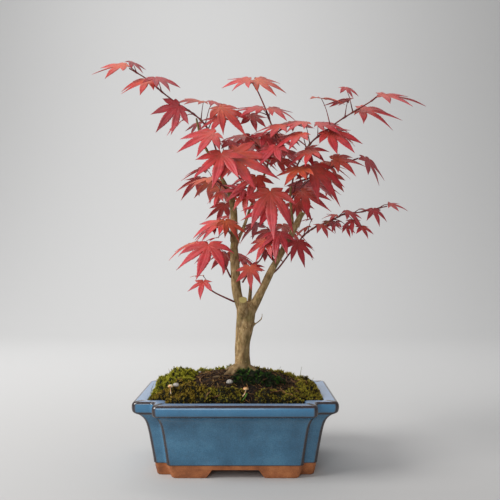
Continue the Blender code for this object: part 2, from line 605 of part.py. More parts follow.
def lay_shoots(wood):
    """Each shoot as one list of shapes. A leaf shifts a little, mostly front or back, until clear."""
    solid_wood = tree_of(wood)
    stems, routes = {}, {}
    for name, points in SHOOTS.items():
        routes[name] = trimmed(smooth_route(points, 3), solid_wood, SHOOT_RADIUS[0])
        stems[name] = tube(routes[name][:-1:4] + routes[name][-1:], SHOOT_RADIUS, 4)
    laid = [solid_wood]
    moves = shifts()
    shoots = {}
    for name, route in routes.items():
        others = [tree_of(stem) for other, stem in stems.items() if other != name]
        own, own_stalks = tree_of(stems[name]), []
        shoots[name] = [stems[name]]
        for x, y, z, bearing, dip, lean, length in LEAVES[name]:
            for shift in moves:
                stalk_end = Vector((x, y, z)) + shift
                wide = tree_of(blade_shape(stalk_end, bearing, dip, lean, length, 2 * BLADE_THICK))
                stalk = tree_of(stalk_shape(route, stalk_end, STALK_RADIUS + CLEAR))
                if meets(wide, laid + others + [own] + own_stalks) or meets(stalk, laid + others):
                    continue
                laid.append(wide)
                own_stalks.append(stalk)
                shoots[name] += [stalk_shape(route, stalk_end, STALK_RADIUS),
                                 blade_shape(stalk_end, bearing, dip, lean, length, BLADE_THICK)]
                break
            else:
                print("no room for a leaf of", name, (x, y, z))
        laid += own_stalks
    return shoots, routes


# Objects

def material(name, colour, roughness, metallic=0.0):
    made = bpy.data.materials.new(name)
    made.use_nodes = True
    shader = made.node_tree.nodes["Principled BSDF"]
    shader.inputs["Base Color"].default_value = (*colour, 1)
    shader.inputs["Roughness"].default_value = roughness
    shader.inputs["Metallic"].default_value = metallic
    return made


def add_object(name, shape, parent, finish=None, smooth=True):
    points, faces = shape
    mesh = bpy.data.meshes.new(name)
    mesh.from_pydata([p * MM for p in points], [], faces)
    mesh.validate()
    if smooth:
        mesh.shade_smooth()
        mesh.set_sharp_from_angle(angle=math.radians(40))
    made = bpy.data.objects.new(name, mesh)
    made.parent = parent
    bpy.context.scene.collection.objects.link(made)
    if finish:
        mesh.materials.append(material(name + "_" + finish[0], *finish[1:]))
    else:
        made.hide_render = True
        made.display_type = "WIRE"
    return made


def cut(target, cutter):
    modifier = target.modifiers.new("cut_" + cutter.name, "BOOLEAN")
    modifier.operation = "DIFFERENCE"
    modifier.object = cutter


def grow_together(target, bud):
    """One body from the overlapping bodies of the target's mesh."""
    modifier = target.modifiers.new("grown_together", "BOOLEAN")
    modifier.operation = "UNION"
    modifier.use_self = True
    modifier.object = bud


def wood_shapes():
    roots = []
    for points in ROOTS:
        lift = ROOT_RADIUS + 2 * CLEAR
        raised = [points[0]] + [(x, y, soil_height(x, y) + lift) for x, y, z in points[1:]]
        radii = [ROOT_RADIUS, ROOT_RADIUS * 0.9, ROOT_RADIUS * 0.45]
        roots.append(tube(smooth_route(raised, 10), radii, 5))
    thick = [limb(points, 12, 8) for points in (TRUNK, LEFT_LIMB, RIGHT_LIMB, FRONT_STUB)]
    thin = [limb(points, 14, 5) for points in (BACK_STUB, DEAD_TWIG, RIGHT_TWIG, CENTRE_TWIG, SIDE_STUB)]
    return thick + thin + roots


def build():
    clear_scene()
    ground = {"soil": soil_shape()}
    for name, (*ranges, _) in MOSS.items():
        ground[name] = moss_shape(*ranges)
    wood = wood_shapes()
    ground_trees = [tree_of(shape) for shape in ground.values()]
    shoots, routes = lay_shoots(joined(wood))

    everything = [p for shapes in shoots.values() for shape in shapes for p in shape[0]]
    everything += pot_shape()[0]
    low = Vector(min(p[k] for p in everything) for k in range(3))
    high = Vector(max(p[k] for p in everything) for k in range(3))
    whole = bpy.data.objects.new("bonsai", None)
    bpy.context.scene.collection.objects.link(whole)
    whole.location = Vector((-(low.x + high.x) / 2, -(low.y + high.y) / 2, FOOT_DROP)) * MM

    pot = add_object("pot", pot_shape(), whole, GLAZE)
    cutters = {
        "front_gap": gap_cutter(FRONT_GAP_HALF, False),
        "side_gap": gap_cutter(SIDE_GAP_HALF, True),
        "foot_recess": box((-RECESS_HALF[0], -RECESS_HALF[1], CUT_LOW), (*RECESS_HALF, FOOT_GAP_HEIGHT)),
        "left_drain": loft([ring((-DRAIN_X, 0), DRAIN_RADIUS, z, DRAIN_SIDES) for z in DRAIN_CUT]),
        "right_drain": loft([ring((DRAIN_X, 0), DRAIN_RADIUS, z, DRAIN_SIDES) for z in DRAIN_CUT]),
    }
    for name, shape in cutters.items():
        cut(pot, add_object(name, shape, whole))

    soil = add_object("soil", ground["soil"], whole, SOIL)
    for side, middle_x in (("left", -DRAIN_X), ("right", DRAIN_X)):
        add_object("drain_screen_" + side, screen_shape(middle_x), whole, SCREEN_PLASTIC, False)
        add_object("drain_wire_" + side, wire_shape(middle_x), whole, WIRE_METAL)
        low, high = SCREEN_ROOM_HEIGHT
        room = box((middle_x - SCREEN_ROOM_HALF, -SCREEN_ROOM_HALF, low),
                   (middle_x + SCREEN_ROOM_HALF, SCREEN_ROOM_HALF, high))
        cut(soil, add_object("screen_room_" + side, room, whole))

    for name, (*_, colour) in MOSS.items():
        add_object(name, ground[name], whole, ("moss", colour, 0.95))
    for name, (x, y, half) in PEBBLES.items():
        z = surface_height(ground_trees, x, y, half[0]) + half[2] + CLEAR
        add_object(name, pebble_shape(x, y, z, half), whole, STONE)
    for name, (x, y, rise, lean) in TOADSTOOLS.items():
        z = surface_height(ground_trees, x, y, 2 * CAP_STALK_RADIUS) + 2 * CLEAR
        head = (x + lean, y + rise / 3, z + rise)
        add_object(name, mushroom_shape((x, y, z), head, CAP_RADIUS, CAP_STALK_RADIUS), whole, MUSHROOM)

    trunk = add_object("trunk", joined(wood), whole, BARK)
    pith = [Vector((TRUNK_X, 0, z)) for z in PITH_HEIGHTS]
    heart = add_object("trunk_heart", tube(pith, [PITH_RADIUS] * 2, 6), whole)
    grow_together(trunk, heart)
    for name, shapes in shoots.items():
        spray = add_object("leaves_" + name, joined(shapes), whole, LEAF_RED)
        start, following = routes[name][0], routes[name][1]
        bud = tube([start.lerp(following, 0.1), start.lerp(following, 0.9)], [BUD_RADIUS] * 2, 3)
        grow_together(spray, add_object("bud_" + name, bud, whole))
    print("laid", sum((len(shapes) - 1) // 2 for shapes in shoots.values()), "leaves")


build()
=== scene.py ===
# %% [markdown]
# # A red maple bonsai in a glazed pot
# This script gives the finished looks to a small Japanese maple that grows in a blue glazed pot with
# indented corners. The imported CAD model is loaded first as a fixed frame: every visible piece below is
# made where that frame says, and rides on its one body. All sizes are real millimetres until a mesh is
# made, because a gardener or a potter thinks in millimetres, and Blender's own unit here is the metre.

# %% Load the frame
import math
import random

import bmesh
import bpy
from mathutils import Matrix, Vector, noise
from mathutils.bvhtree import BVHTree
from mathutils.geometry import interpolate_bezier


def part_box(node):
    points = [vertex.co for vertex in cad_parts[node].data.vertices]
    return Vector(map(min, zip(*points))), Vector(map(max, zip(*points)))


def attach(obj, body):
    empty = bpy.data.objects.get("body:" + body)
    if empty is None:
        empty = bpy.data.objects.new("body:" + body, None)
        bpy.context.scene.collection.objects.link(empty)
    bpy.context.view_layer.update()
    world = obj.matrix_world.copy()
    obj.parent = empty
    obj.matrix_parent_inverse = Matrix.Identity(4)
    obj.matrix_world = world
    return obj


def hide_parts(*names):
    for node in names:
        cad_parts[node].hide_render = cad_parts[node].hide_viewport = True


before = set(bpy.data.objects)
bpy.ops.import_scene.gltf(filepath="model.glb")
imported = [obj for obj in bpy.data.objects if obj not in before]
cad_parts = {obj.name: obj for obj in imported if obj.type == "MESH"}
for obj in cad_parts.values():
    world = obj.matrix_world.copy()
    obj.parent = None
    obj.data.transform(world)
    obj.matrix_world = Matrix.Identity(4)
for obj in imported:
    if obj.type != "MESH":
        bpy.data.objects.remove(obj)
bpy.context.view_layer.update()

pot_low, pot_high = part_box("pot")
MM = 0.001
FOOT_DROP = 2.5  # the tables below count heights from this far above the foot's lower face
HOME = Vector(((pot_low.x + pot_high.x) / 2, (pot_low.y + pot_high.y) / 2, FOOT_DROP * MM))
BODY = "root"
print("pot middle at", [round(v, 4) for v in HOME], "CAD nodes:", len(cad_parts))

# %% [markdown]
# ## Small tools for meshes
# A shape here is a pair: a list of points in millimetres, measured from the middle of the pot's foot,
# and a list of faces. Lofting a stack of loops gives closed pots, tubes and stones alike. Keeping shapes
# as plain lists until the end makes it easy to join several before one object is made from them.

# %% Lofts, routes and tubes


def loft(loops):
    """The closed solid through a stack of equal loops, each anticlockwise from above."""
    count = len(loops[0])
    points = [Vector(p) for loop in loops for p in loop]
    faces = [tuple(reversed(range(count)))]
    for k in range(len(loops) - 1):
        low, high = k * count, (k + 1) * count
        for i in range(count):
            j = (i + 1) % count
            faces.append((low + i, low + j, high + j, high + i))
    faces.append(tuple(range((len(loops) - 1) * count, len(loops) * count)))
    return points, faces


def joined(shapes):
    """One shape from several."""
    points, faces = [], []
    for more_points, more_faces in shapes:
        start = len(points)
        points += more_points
        faces += [tuple(start + i for i in face) for face in more_faces]
    return points, faces


def smooth_route(points, step):
    """Points about one step apart along a smooth curve through the given ones."""
    ends = [Vector(p) for p in points]
    ways = []
    for i in range(len(ends)):
        before, after = ends[max(i - 1, 0)], ends[min(i + 1, len(ends) - 1)]
        ways.append((after - before) / (1 if i in (0, len(ends) - 1) else 2))
    route = [ends[0]]
    for a, b, way_a, way_b in zip(ends, ends[1:], ways, ways[1:]):
        parts = max(1, round((b - a).length / step))
        route += interpolate_bezier(a, a + way_a / 3, b - way_b / 3, b, parts + 1)[1:]
    return route


def tube(route, radii, sides):
    """A closed tube along a route, its radius running evenly through the given ones."""
    loops = []
    way = (route[1] - route[0]).normalized()
    side = way.orthogonal().normalized()
    for i, centre in enumerate(route):
        way = (route[min(i + 1, len(route) - 1)] - route[max(i - 1, 0)]).normalized()
        side = (side - way * side.dot(way)).normalized()
        up = way.cross(side)
        place = i / (len(route) - 1) * (len(radii) - 1)
        low = min(int(place), len(radii) - 2)
        radius = radii[low] + (radii[low + 1] - radii[low]) * (place - low)
        turns = [2 * math.pi * k / sides for k in range(sides)]
        loops.append([centre + radius * (math.cos(t) * side + math.sin(t) * up) for t in turns])
    return loft(loops)


def chord_distance(p, a, b):
    """How far a point is from the straight line between two others."""
    share = min(max((p - a).dot(b - a) / (b - a).length_squared, 0), 1)
    return (p - a - (b - a) * share).length


def limb(points, step, sides):
    """A length of wood through (centre, radius) points."""
    route = smooth_route([centre for centre, radius in points], step)
    centres = [Vector(centre) for centre, radius in points]
    radii = []
    for p in route:
        near = min(range(len(centres) - 1), key=lambda i: chord_distance(p, centres[i], centres[i + 1]))
        a, b = centres[near], centres[near + 1]
        share = min(max((p - a).dot(b - a) / (b - a).length_squared, 0), 1)
        radii.append(points[near][1] * (1 - share) + points[near + 1][1] * share)
    return tube(route, radii, sides)


# %% [markdown]
# ## From shapes to finished pieces
# A piece that is finished becomes an object whose place is held in its mesh, and one call lets it ride on
# the plant's body and hides the CAD nodes that it stands for. The material helpers turn paint-shop hex
# colours into the linear ones that shaders expect, and add one node at a time with its links.

# %% Objects and materials


def new_object(name, shape):
    """An object at the origin whose mesh holds its place in metres."""
    points, faces = shape
    mesh = bpy.data.meshes.new(name)
    mesh.from_pydata([p * MM + HOME for p in points], [], faces)
    mesh.validate()
    mesh.shade_smooth()
    made = bpy.data.objects.new(name, mesh)
    bpy.context.scene.collection.objects.link(made)
    return made


def baked(obj):
    """The object with its modifiers turned into plain mesh."""
    graph = bpy.context.evaluated_depsgraph_get()
    mesh = bpy.data.meshes.new_from_object(obj.evaluated_get(graph))
    old = obj.data
    obj.modifiers.clear()
    obj.data = mesh
    bpy.data.meshes.remove(old)
    return obj


def settle(obj, slot, *nodes):
    """Rides a finished piece on the body and hides the CAD nodes that it stands for."""
    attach(obj, BODY)
    if nodes:
        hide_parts(*nodes)
    print(obj.name, len(obj.data.polygons), "faces")
    return obj


def linear(hex_colour):
    """An sRGB hex colour as the linear colour that shaders take."""
    parts = [int(hex_colour[i:i + 2], 16) / 255 for i in (1, 3, 5)]
    return (*[c / 12.92 if c <= 0.04045 else ((c + 0.055) / 1.055) ** 2.4 for c in parts], 1.0)


def add(tree, kind, inputs=None, stops=None, **settings):
    """Adds one node: settings by name, inputs by socket name or number, from a value or an output."""
    made = tree.nodes.new(kind)
    for key, value in settings.items():
        setattr(made, key, value)
    if stops:
        ramp = made.color_ramp
        while len(ramp.elements) < len(stops):
            ramp.elements.new(1.0)
        for element, (position, colour) in zip(ramp.elements, stops):
            element.position = position
            element.color = linear(colour)
    for key, value in (inputs or {}).items():
        if isinstance(value, bpy.types.NodeSocket):
            tree.links.new(value, made.inputs[key])
        else:
            made.inputs[key].default_value = value
    return made


def new_material(name):
    """An empty Principled material: (material, its tree, its shader)."""
    made = bpy.data.materials.new(name)
    made.use_nodes = True
    return made, made.node_tree, made.node_tree.nodes["Principled BSDF"]


def per_mm(size):
    """The texture scale that makes a pattern of this many millimetres."""
    return 1 / (size * MM)


def mottled(name, size, stops, detail=3.0, coarse=0.5, relief=0.0):
    """A material whose colour wanders through the stops in patches of a real size, with its shader."""
    made, tree, shader = new_material(name)
    place = add(tree, "ShaderNodeTexCoord").outputs["Object"]
    patches = add(tree, "ShaderNodeTexNoise", {"Vector": place, "Scale": per_mm(size), "Detail": detail,
                                               "Roughness": coarse})
    colour = add(tree, "ShaderNodeValToRGB", {"Fac": patches.outputs["Fac"]}, stops)
    tree.links.new(colour.outputs["Color"], shader.inputs["Base Color"])
    if relief:
        bump = add(tree, "ShaderNodeBump", {"Height": patches.outputs["Fac"], "Distance": relief * MM,
                                            "Strength": 0.6})
        tree.links.new(bump.outputs["Normal"], shader.inputs["Normal"])
    return made, shader

# %% [markdown]
# ## Camera, floor and light
# A plant this size is photographed from about two thirds of a metre, a little above the pot's rim, with
# a short telephoto view. The floor bends up into the backdrop, as a paper roll does in a studio, so that
# no horizon line shows. The light is one large soft box from the upper left, a weak one from the right
# and a pale surround that fills the shadows. A last one lights only the far end of the paper.

# %% Camera
camera_data = bpy.data.cameras.new("camera")
camera_data.lens = 44.1
camera = bpy.data.objects.new("camera", camera_data)
camera.location = HOME + Vector((14.1, -647.0, 200.6)) * MM
camera.rotation_euler = (math.radians(90 + 1.6), 0, 0)
bpy.context.scene.collection.objects.link(camera)
bpy.context.scene.camera = camera

# %% Floor and backdrop
FLOOR_HALF = 3000.0
BEND_START = 1100.0
BEND_RADIUS = 1300.0
BACKDROP_HEIGHT = 3500.0


def backdrop_shape():
    """A sheet that runs back along the floor and bends up behind."""
    line = [(-2500.0, 0.0), (BEND_START, 0.0)]
    for k in range(1, 25):
        turn = math.pi / 2 * k / 24
        line.append((BEND_START + BEND_RADIUS * math.sin(turn), BEND_RADIUS * (1 - math.cos(turn))))
    line.append((BEND_START + BEND_RADIUS, BACKDROP_HEIGHT))
    points = [Vector((x, y, z - FOOT_DROP)) for y, z in line for x in (-FLOOR_HALF, FLOOR_HALF)]
    return points, [(2 * k, 2 * k + 1, 2 * k + 3, 2 * k + 2) for k in range(len(line) - 1)]


def paper():
    """Seamless paper: matt and pale grey."""
    made, tree, shader = new_material("studio_paper")
    shader.inputs["Base Color"].default_value = linear("#b8b8b8")
    shader.inputs["Roughness"].default_value = 0.9
    return made


floor = new_object("floor", backdrop_shape())
floor.data.materials.append(paper())

# %% Lights


def soft_box(name, place, aim, size, power, colour):
    """A square area light at a place, facing another, both in millimetres."""
    light = bpy.data.lights.new(name, "AREA")
    light.size = size * MM
    light.energy = power
    light.color = linear(colour)[:3]
    made = bpy.data.objects.new(name, light)
    made.location = HOME + Vector(place) * MM
    made.rotation_euler = (Vector(aim) - Vector(place)).to_track_quat("-Z", "Y").to_euler()
    bpy.context.scene.collection.objects.link(made)
    return made


soft_box("key", (-1300, -500, 1050), (0, 0, 200), 800, 28, "#fffdfa")
soft_box("front", (-300, -1800, 900), (0, 0, 150), 900, 9, "#ffffff")
soft_box("backdrop", (-300, 700, 1600), (-100, 2300, 500), 1500, 30, "#ffffff")
world = bpy.data.worlds.new("studio")
world.use_nodes = True
world.node_tree.nodes["Background"].inputs["Color"].default_value = linear("#e6e6e6")
world.node_tree.nodes["Background"].inputs["Strength"].default_value = 0.46
bpy.context.scene.world = world
bpy.context.scene.view_settings.view_transform = "Standard"

# %% [markdown]
# ## The pot
# The pot is pressed stoneware: a rectangle whose corners step in, walls that curve out to a heavy
# rolled rim, and a clay foot left bare so that it does not stick to the kiln shelf. A profile lofted round
# one notched outline gives all of it, as a potter's template would. Glaze runs thin on every sharp edge
# and the brown clay shows there, so each point also carries how near it is to such an edge.

# %% Plan of the pot
SIDE_LESS = 25.0  # the pot is this much shorter front to back, on each half
PANEL_LESS = 20.4
CORNER_STEPS = 8


def notched_corners(side_x, panel_x, grow=0.0):
    """The twelve sharp corners of the plan, anticlockwise."""
    side_y, panel_y = side_x - SIDE_LESS, panel_x - PANEL_LESS
    quarter = [(side_x + grow, panel_y + grow), (panel_x + grow, panel_y + grow),
               (panel_x + grow, side_y + grow)]
    corners = []
    for sx, sy in ((1, 1), (-1, 1), (-1, -1), (1, -1)):
        turned = [Vector((sx * x, sy * y)) for x, y in quarter]
        corners += turned if sx * sy > 0 else turned[::-1]
    return corners


def rounded(corners, radius, steps):
    """The outline with arcs at its corners, and how near each point is to an outer corner's ridge."""
    outline, ridges = [], []
    for i, corner in enumerate(corners):
        last, following = corners[i - 1], corners[(i + 1) % len(corners)]
        outer = (corner - last).cross(following - corner) > 0
        to_last = (last - corner).normalized() * radius
        to_next = (following - corner).normalized() * radius
        centre = corner + to_last + to_next
        for k in range(steps + 1):
            turn = math.pi / 2 * k / steps
            outline.append(centre - to_next * math.cos(turn) - to_last * math.sin(turn))
            ridges.append(min(1.0, max(0.0, 1.35 - abs(k - steps / 2) / (0.42 * steps))) if outer else 0.0)
    return outline, ridges


# %% Profile of the pot
# Height, half length of the long side, half length of its front panel, corner radius, and how far the
# glaze has run off a level edge there
CLAY_PROFILE = [(-2.5, 76.4, 61.2, 4.5), (-2.1, 76.9, 61.6, 4.5), (-1.2, 77.3, 62.0, 4.5),
                (2.0, 77.9, 63.2, 4.5), (5.6, 78.4, 64.3, 4.5), (6.1, 78.7, 64.6, 4.5),
                (9.6, 78.9, 65.0, 4.5), (10.0, 79.0, 65.1, 4.5)]
GLAZE_PROFILE = [(10.0, 79.3, 65.4, 4.5, 1.0), (10.3, 79.8, 66.0, 4.5, 0.9), (11.2, 80.0, 66.2, 4.5, 0.0),
                 (16.0, 80.6, 66.7, 4.3, 0.0), (22.0, 81.5, 67.4, 4.1, 0.0), (28.0, 82.5, 68.1, 4.0, 0.0),
                 (34.0, 83.5, 68.9, 3.9, 0.0), (39.0, 84.3, 69.6, 3.9, 0.0), (43.0, 85.1, 70.2, 3.9, 0.0),
                 (47.0, 86.0, 70.9, 3.9, 0.0), (50.0, 86.9, 71.6, 3.9, 0.0), (53.0, 88.2, 72.6, 4.0, 0.0),
                 (55.2, 89.7, 73.6, 4.1, 0.0), (57.0, 91.5, 74.6, 4.3, 0.0), (58.4, 93.4, 75.4, 4.5, 0.1),
                 (59.3, 95.2, 76.1, 4.7, 0.5), (59.8, 96.6, 76.6, 4.8, 1.0), (60.4, 97.8, 77.0, 5.0, 1.0),
                 (61.2, 98.8, 77.4, 5.2, 0.7), (62.2, 99.4, 77.6, 5.2, 0.0), (64.0, 99.8, 77.8, 5.2, 0.0),
                 (66.0, 100.0, 78.0, 5.2, 0.0), (67.8, 99.9, 77.9, 5.2, 0.0), (69.0, 99.6, 77.8, 5.2, 0.15),
                 (69.8, 99.2, 77.6, 5.2, 0.75), (70.5, 98.6, 77.2, 5.0, 1.0), (71.1, 97.8, 76.6, 4.8, 1.0),
                 (71.4, 96.9, 75.9, 4.6, 0.7), (71.5, 95.8, 75.1, 4.4, 0.05), (71.5, 94.0, 73.6, 4.2, 0.0),
                 (71.4, 90.5, 70.8, 4.0, 0.0), (71.3, 87.8, 68.6, 4.0, 0.0), (70.9, 86.4, 67.2, 4.0, 0.3),
                 (70.0, 85.4, 66.4, 4.0, 0.7), (68.0, 84.4, 65.9, 4.0, 0.1), (64.0, 83.0, 65.5, 4.0, 0.0),
                 (56.0, 81.7, 64.6, 4.0, 0.0)]
INSIDE_FLOOR = (13.0, 74.5, 60.5, 4.0)


INNER_WALL_LOW, INNER_WALL_HALF = 64, 88  # above this and within this, a level is on the inner wall


def pot_level(height, side_x, panel_x, radius):
    """One loop of the pot, and how near each of its points is to an outer corner."""
    outline, ridges = rounded(notched_corners(side_x, panel_x), radius, CORNER_STEPS)
    return [Vector((p.x, p.y, height)) for p in outline], ridges


def pot_mesh():
    """The whole pot as one closed shape, its glazed part marked by a second material."""
    levels = [(level[:4], 0.0) for level in CLAY_PROFILE]
    levels += [(level[:4], level[4]) for level in GLAZE_PROFILE]
    levels.append((INSIDE_FLOOR, 0.0))
    loops, worn = [], []
    for level, level_edge in levels:
        loop, ridges = pot_level(*level)
        inner = level[0] >= INNER_WALL_LOW and level[1] < INNER_WALL_HALF
        loops.append(loop)
        worn += [max(level_edge, 0.0 if inner else ridge) for ridge in ridges]
    points, faces = loft(loops)
    glazed = range(len(CLAY_PROFILE) - 1, len(CLAY_PROFILE) + len(GLAZE_PROFILE) - 1)
    count = len(loops[0])
    bands = [(k // count) in glazed for k in range(len(faces) - 2)]
    made = new_object("pot_body", (points, faces))
    attribute = made.data.attributes.new("worn", "FLOAT", "POINT")
    attribute.data.foreach_set("value", worn)
    for face, is_glazed in zip(list(made.data.polygons)[1:-1], bands):
        face.material_index = 1 if is_glazed else 0
    return made


# %% [markdown]
# The foot is cut as the potter cuts it with a wire: a wide gap under each side, a shallow recess under
# the floor, and two drain holes. Boolean cutters do that exactly, and a helper removes them afterwards.

# %% Cut the foot
FOOT_GAP_HEIGHT = 5.8
FRONT_GAP_HALF = (28.4, 22.5)  # half width between the feet, at the table and under the pot
SIDE_GAP_HALF = (20.0, 16.5)
RECESS_HALF = (58.0, 36.0)
DRAIN_X = 42.0
DRAIN_RADIUS = 10.0
DRAIN_SIDES = 48
DRAIN_CUT = (2.0, 20.0)
PAST_WALL = 110.0  # a cutter's half length where it goes right through the pot
PAST_FRONT = 90.0


def prism(half_x_low, half_x_high, half_y_low, half_y_high):
    """A block with slanted sides, centred under the pot, from well below the table to the gap's roof."""
    low = -3 * FOOT_DROP
    reach = (FOOT_GAP_HEIGHT - low) / (FOOT_GAP_HEIGHT + FOOT_DROP)
    loops = []
    for z, x, y in ((low, half_x_high + (half_x_low - half_x_high) * reach,
                     half_y_high + (half_y_low - half_y_high) * reach),
                    (FOOT_GAP_HEIGHT, half_x_high, half_y_high)):
        loops.append([Vector((-x, -y, z)), Vector((x, -y, z)), Vector((x, y, z)), Vector((-x, y, z))])
    return loft(loops)


def drain(middle_x):
    """A round cutter through the pot's floor."""
    turns = [2 * math.pi * k / DRAIN_SIDES for k in range(DRAIN_SIDES)]
    return loft([[Vector((middle_x + DRAIN_RADIUS * math.cos(t), DRAIN_RADIUS * math.sin(t), z))
                  for t in turns] for z in DRAIN_CUT])


def cut_away(target, shapes):
    """Cuts each shape out of the target and leaves plain mesh."""
    cutters = []
    for i, shape in enumerate(shapes):
        cutter = new_object(f"cutter_{i}", shape)
        cutters.append(cutter)
        modifier = target.modifiers.new(f"cut_{i}", "BOOLEAN")
        modifier.operation = "DIFFERENCE"
        modifier.object = cutter
    baked(target)
    for cutter in cutters:
        bpy.data.objects.remove(cutter, do_unlink=True)
    return target


# %% Glaze and bare clay


def glaze():
    """Reduction-fired blue stoneware glaze: glassy, finely speckled, with a painted highlight on the rim's
    bead, a pale painted reflection on the faces that look up, and burnt to dark iron brown where it ran thin
    on an edge."""
    made, tree, shader = new_material("blue_stoneware_glaze")
    place = add(tree, "ShaderNodeTexCoord").outputs["Object"]
    clouds = add(tree, "ShaderNodeTexNoise", {"Vector": place, "Scale": per_mm(22), "Detail": 3.0})
    speckle = add(tree, "ShaderNodeTexNoise", {"Vector": place, "Scale": per_mm(0.9), "Detail": 2.0})
    tone = add(tree, "ShaderNodeMath", {0: clouds.outputs["Fac"], 1: 0.6}, operation="MULTIPLY")
    tone = add(tree, "ShaderNodeMath", {0: speckle.outputs["Fac"], 1: 0.4, 2: tone.outputs[0]},
               operation="MULTIPLY_ADD")
    blue = add(tree, "ShaderNodeValToRGB", {"Fac": tone.outputs[0]},
               [(0.36, "#2f5a76"), (0.5, "#3a6a88"), (0.64, "#487a98")])
    height = add(tree, "ShaderNodeSeparateXYZ", {"Vector": place}).outputs["Z"]
    # Painted highlight: the lower half of the rim's bead, 62 to 66 mm up, is mixed towards a brighter blue.
    painted_bead_highlight = add(tree, "ShaderNodeMapRange", {"Value": height, "From Min": 62 * MM, "From Max": 66 * MM,
                                            "To Max": 0.6})
    with_bead_highlight = add(tree, "ShaderNodeMix", {"Factor": painted_bead_highlight.outputs[0], 6: blue.outputs["Color"],
                                         7: linear("#3a749c")}, data_type="RGBA")
    # Painted reflection: faces that look up are mixed towards a pale lavender blue.
    facing = add(tree, "ShaderNodeNewGeometry")
    upward = add(tree, "ShaderNodeSeparateXYZ", {"Vector": facing.outputs["Normal"]}).outputs["Z"]
    level = add(tree, "ShaderNodeMapRange", {"Value": upward, "From Min": 0.75, "From Max": 1.0,
                                             "To Max": 0.8})
    with_top_reflection = add(tree, "ShaderNodeMix", {"Factor": level.outputs[0], 6: with_bead_highlight.outputs[2],
                                        7: linear("#8ba3c6")}, data_type="RGBA")
    worn = add(tree, "ShaderNodeAttribute", attribute_name="worn").outputs["Fac"]
    ragged = add(tree, "ShaderNodeTexNoise", {"Vector": place, "Scale": per_mm(3), "Detail": 3.0})
    edge = add(tree, "ShaderNodeMath", {0: ragged.outputs["Fac"], 1: 0.35, 2: worn},
               operation="MULTIPLY_ADD")
    halo = add(tree, "ShaderNodeMapRange", {"Value": edge.outputs[0], "From Min": 0.35, "From Max": 0.7,
                                            "To Max": 0.55})
    fading = add(tree, "ShaderNodeMix", {"Factor": halo.outputs[0], 6: with_top_reflection.outputs[2],
                                         7: linear("#54504f")}, data_type="RGBA")
    thin = add(tree, "ShaderNodeMapRange", {"Value": edge.outputs[0], "From Min": 0.6, "From Max": 0.95})
    colour = add(tree, "ShaderNodeMix", {"Factor": thin.outputs[0], 6: fading.outputs[2],
                                         7: linear("#2b2022")}, data_type="RGBA")
    tree.links.new(colour.outputs[2], shader.inputs["Base Color"])
    shader.inputs["Roughness"].default_value = 0.24
    shader.inputs["IOR"].default_value = 1.52
    shader.inputs["Coat Weight"].default_value = 0.3
    shader.inputs["Coat Roughness"].default_value = 0.08
    bump = add(tree, "ShaderNodeBump", {"Height": speckle.outputs["Fac"], "Distance": 0.08 * MM,
                                        "Strength": 0.4})
    tree.links.new(bump.outputs["Normal"], shader.inputs["Normal"])
    return made


def bare_clay():
    """Unglazed red-brown stoneware: dry, faintly sandy, with a few iron specks."""
    made, tree, shader = new_material("bare_stoneware_clay")
    place = add(tree, "ShaderNodeTexCoord").outputs["Object"]
    sand = add(tree, "ShaderNodeTexNoise", {"Vector": place, "Scale": per_mm(0.9), "Detail": 4.0})
    stain = add(tree, "ShaderNodeTexNoise", {"Vector": place, "Scale": per_mm(11), "Detail": 2.0})
    tone = add(tree, "ShaderNodeMath", {0: sand.outputs["Fac"], 1: 0.4}, operation="MULTIPLY")
    tone = add(tree, "ShaderNodeMath", {0: stain.outputs["Fac"], 1: 0.6, 2: tone.outputs[0]},
               operation="MULTIPLY_ADD")
    colour = add(tree, "ShaderNodeValToRGB", {"Fac": tone.outputs[0]},
                 [(0.32, "#7a4628"), (0.5, "#a26038"), (0.68, "#bb7748")])
    tree.links.new(colour.outputs["Color"], shader.inputs["Base Color"])
    shader.inputs["Roughness"].default_value = 0.78
    bump = add(tree, "ShaderNodeBump", {"Height": sand.outputs["Fac"], "Distance": 0.15 * MM,
                                        "Strength": 0.5})
    tree.links.new(bump.outputs["Normal"], shader.inputs["Normal"])
    return made


# %% Make the pot
pot = pot_mesh()
pot.data.materials.append(bare_clay())
pot.data.materials.append(glaze())
cut_away(pot, [prism(*FRONT_GAP_HALF, PAST_FRONT, PAST_FRONT), prism(PAST_WALL, PAST_WALL, *SIDE_GAP_HALF),
               prism(RECESS_HALF[0], RECESS_HALF[0], RECESS_HALF[1], RECESS_HALF[1]),
               drain(-DRAIN_X), drain(DRAIN_X)])
pot.data.set_sharp_from_angle(angle=math.radians(50))
settle(pot, "pot_glaze", "pot")

# %% [markdown]
# ## How the maple grows
# The tree is drawn as routes: a trunk that forks low down, two limbs, a few twigs and stubs, and twenty
# young shoots that carry the leaves. Each route is a handful of points that a grower would recognise:
# where the wood starts, where it bends and where it was cut. Everything else follows from them, so a
# shoot is moved by moving its points. All of them are in millimetres from the middle of the pot's foot.

# %% Routes of the wood
TRUNK = [((6, 0, 61), 9.0), ((6, 0, 76), 10.5), ((6, 0, 90), 10.8), ((6, 0, 97), 8.6),
         ((6, 0, 108), 7.7), ((6.5, 0, 121), 7.9), ((8, 0, 133), 8.9), ((9.5, 0, 146), 9.8),
         ((10, 0, 157), 10.2), ((10, 0, 164), 8.0)]
LEFT_LIMB = [((7, 0, 150), 5.5), ((1, -1, 172), 5.0), ((-1, -2, 188), 4.9), ((-2, -2, 206), 4.8),
             ((-3, 0, 224), 4.1), ((-3, 2, 246), 4.1), ((-3.5, 4, 262), 3.9), ((-6, 4, 276), 3.3),
             ((-11, 4, 286), 2.4), ((-18, 4, 299), 2.0), ((-28, 4, 318), 1.7), ((-36, 3, 333), 1.5),
             ((-40, 2, 345), 1.3), ((-43, 0, 359), 1.1)]
RIGHT_LIMB = [((13, 0, 150), 5.5), ((27, -2, 177), 4.2), ((37, -3, 198), 3.8), ((49, -4, 219), 3.4),
              ((59, -5, 238), 3.1), ((66, -5, 252), 3.0), ((70, -5, 259), 2.9)]
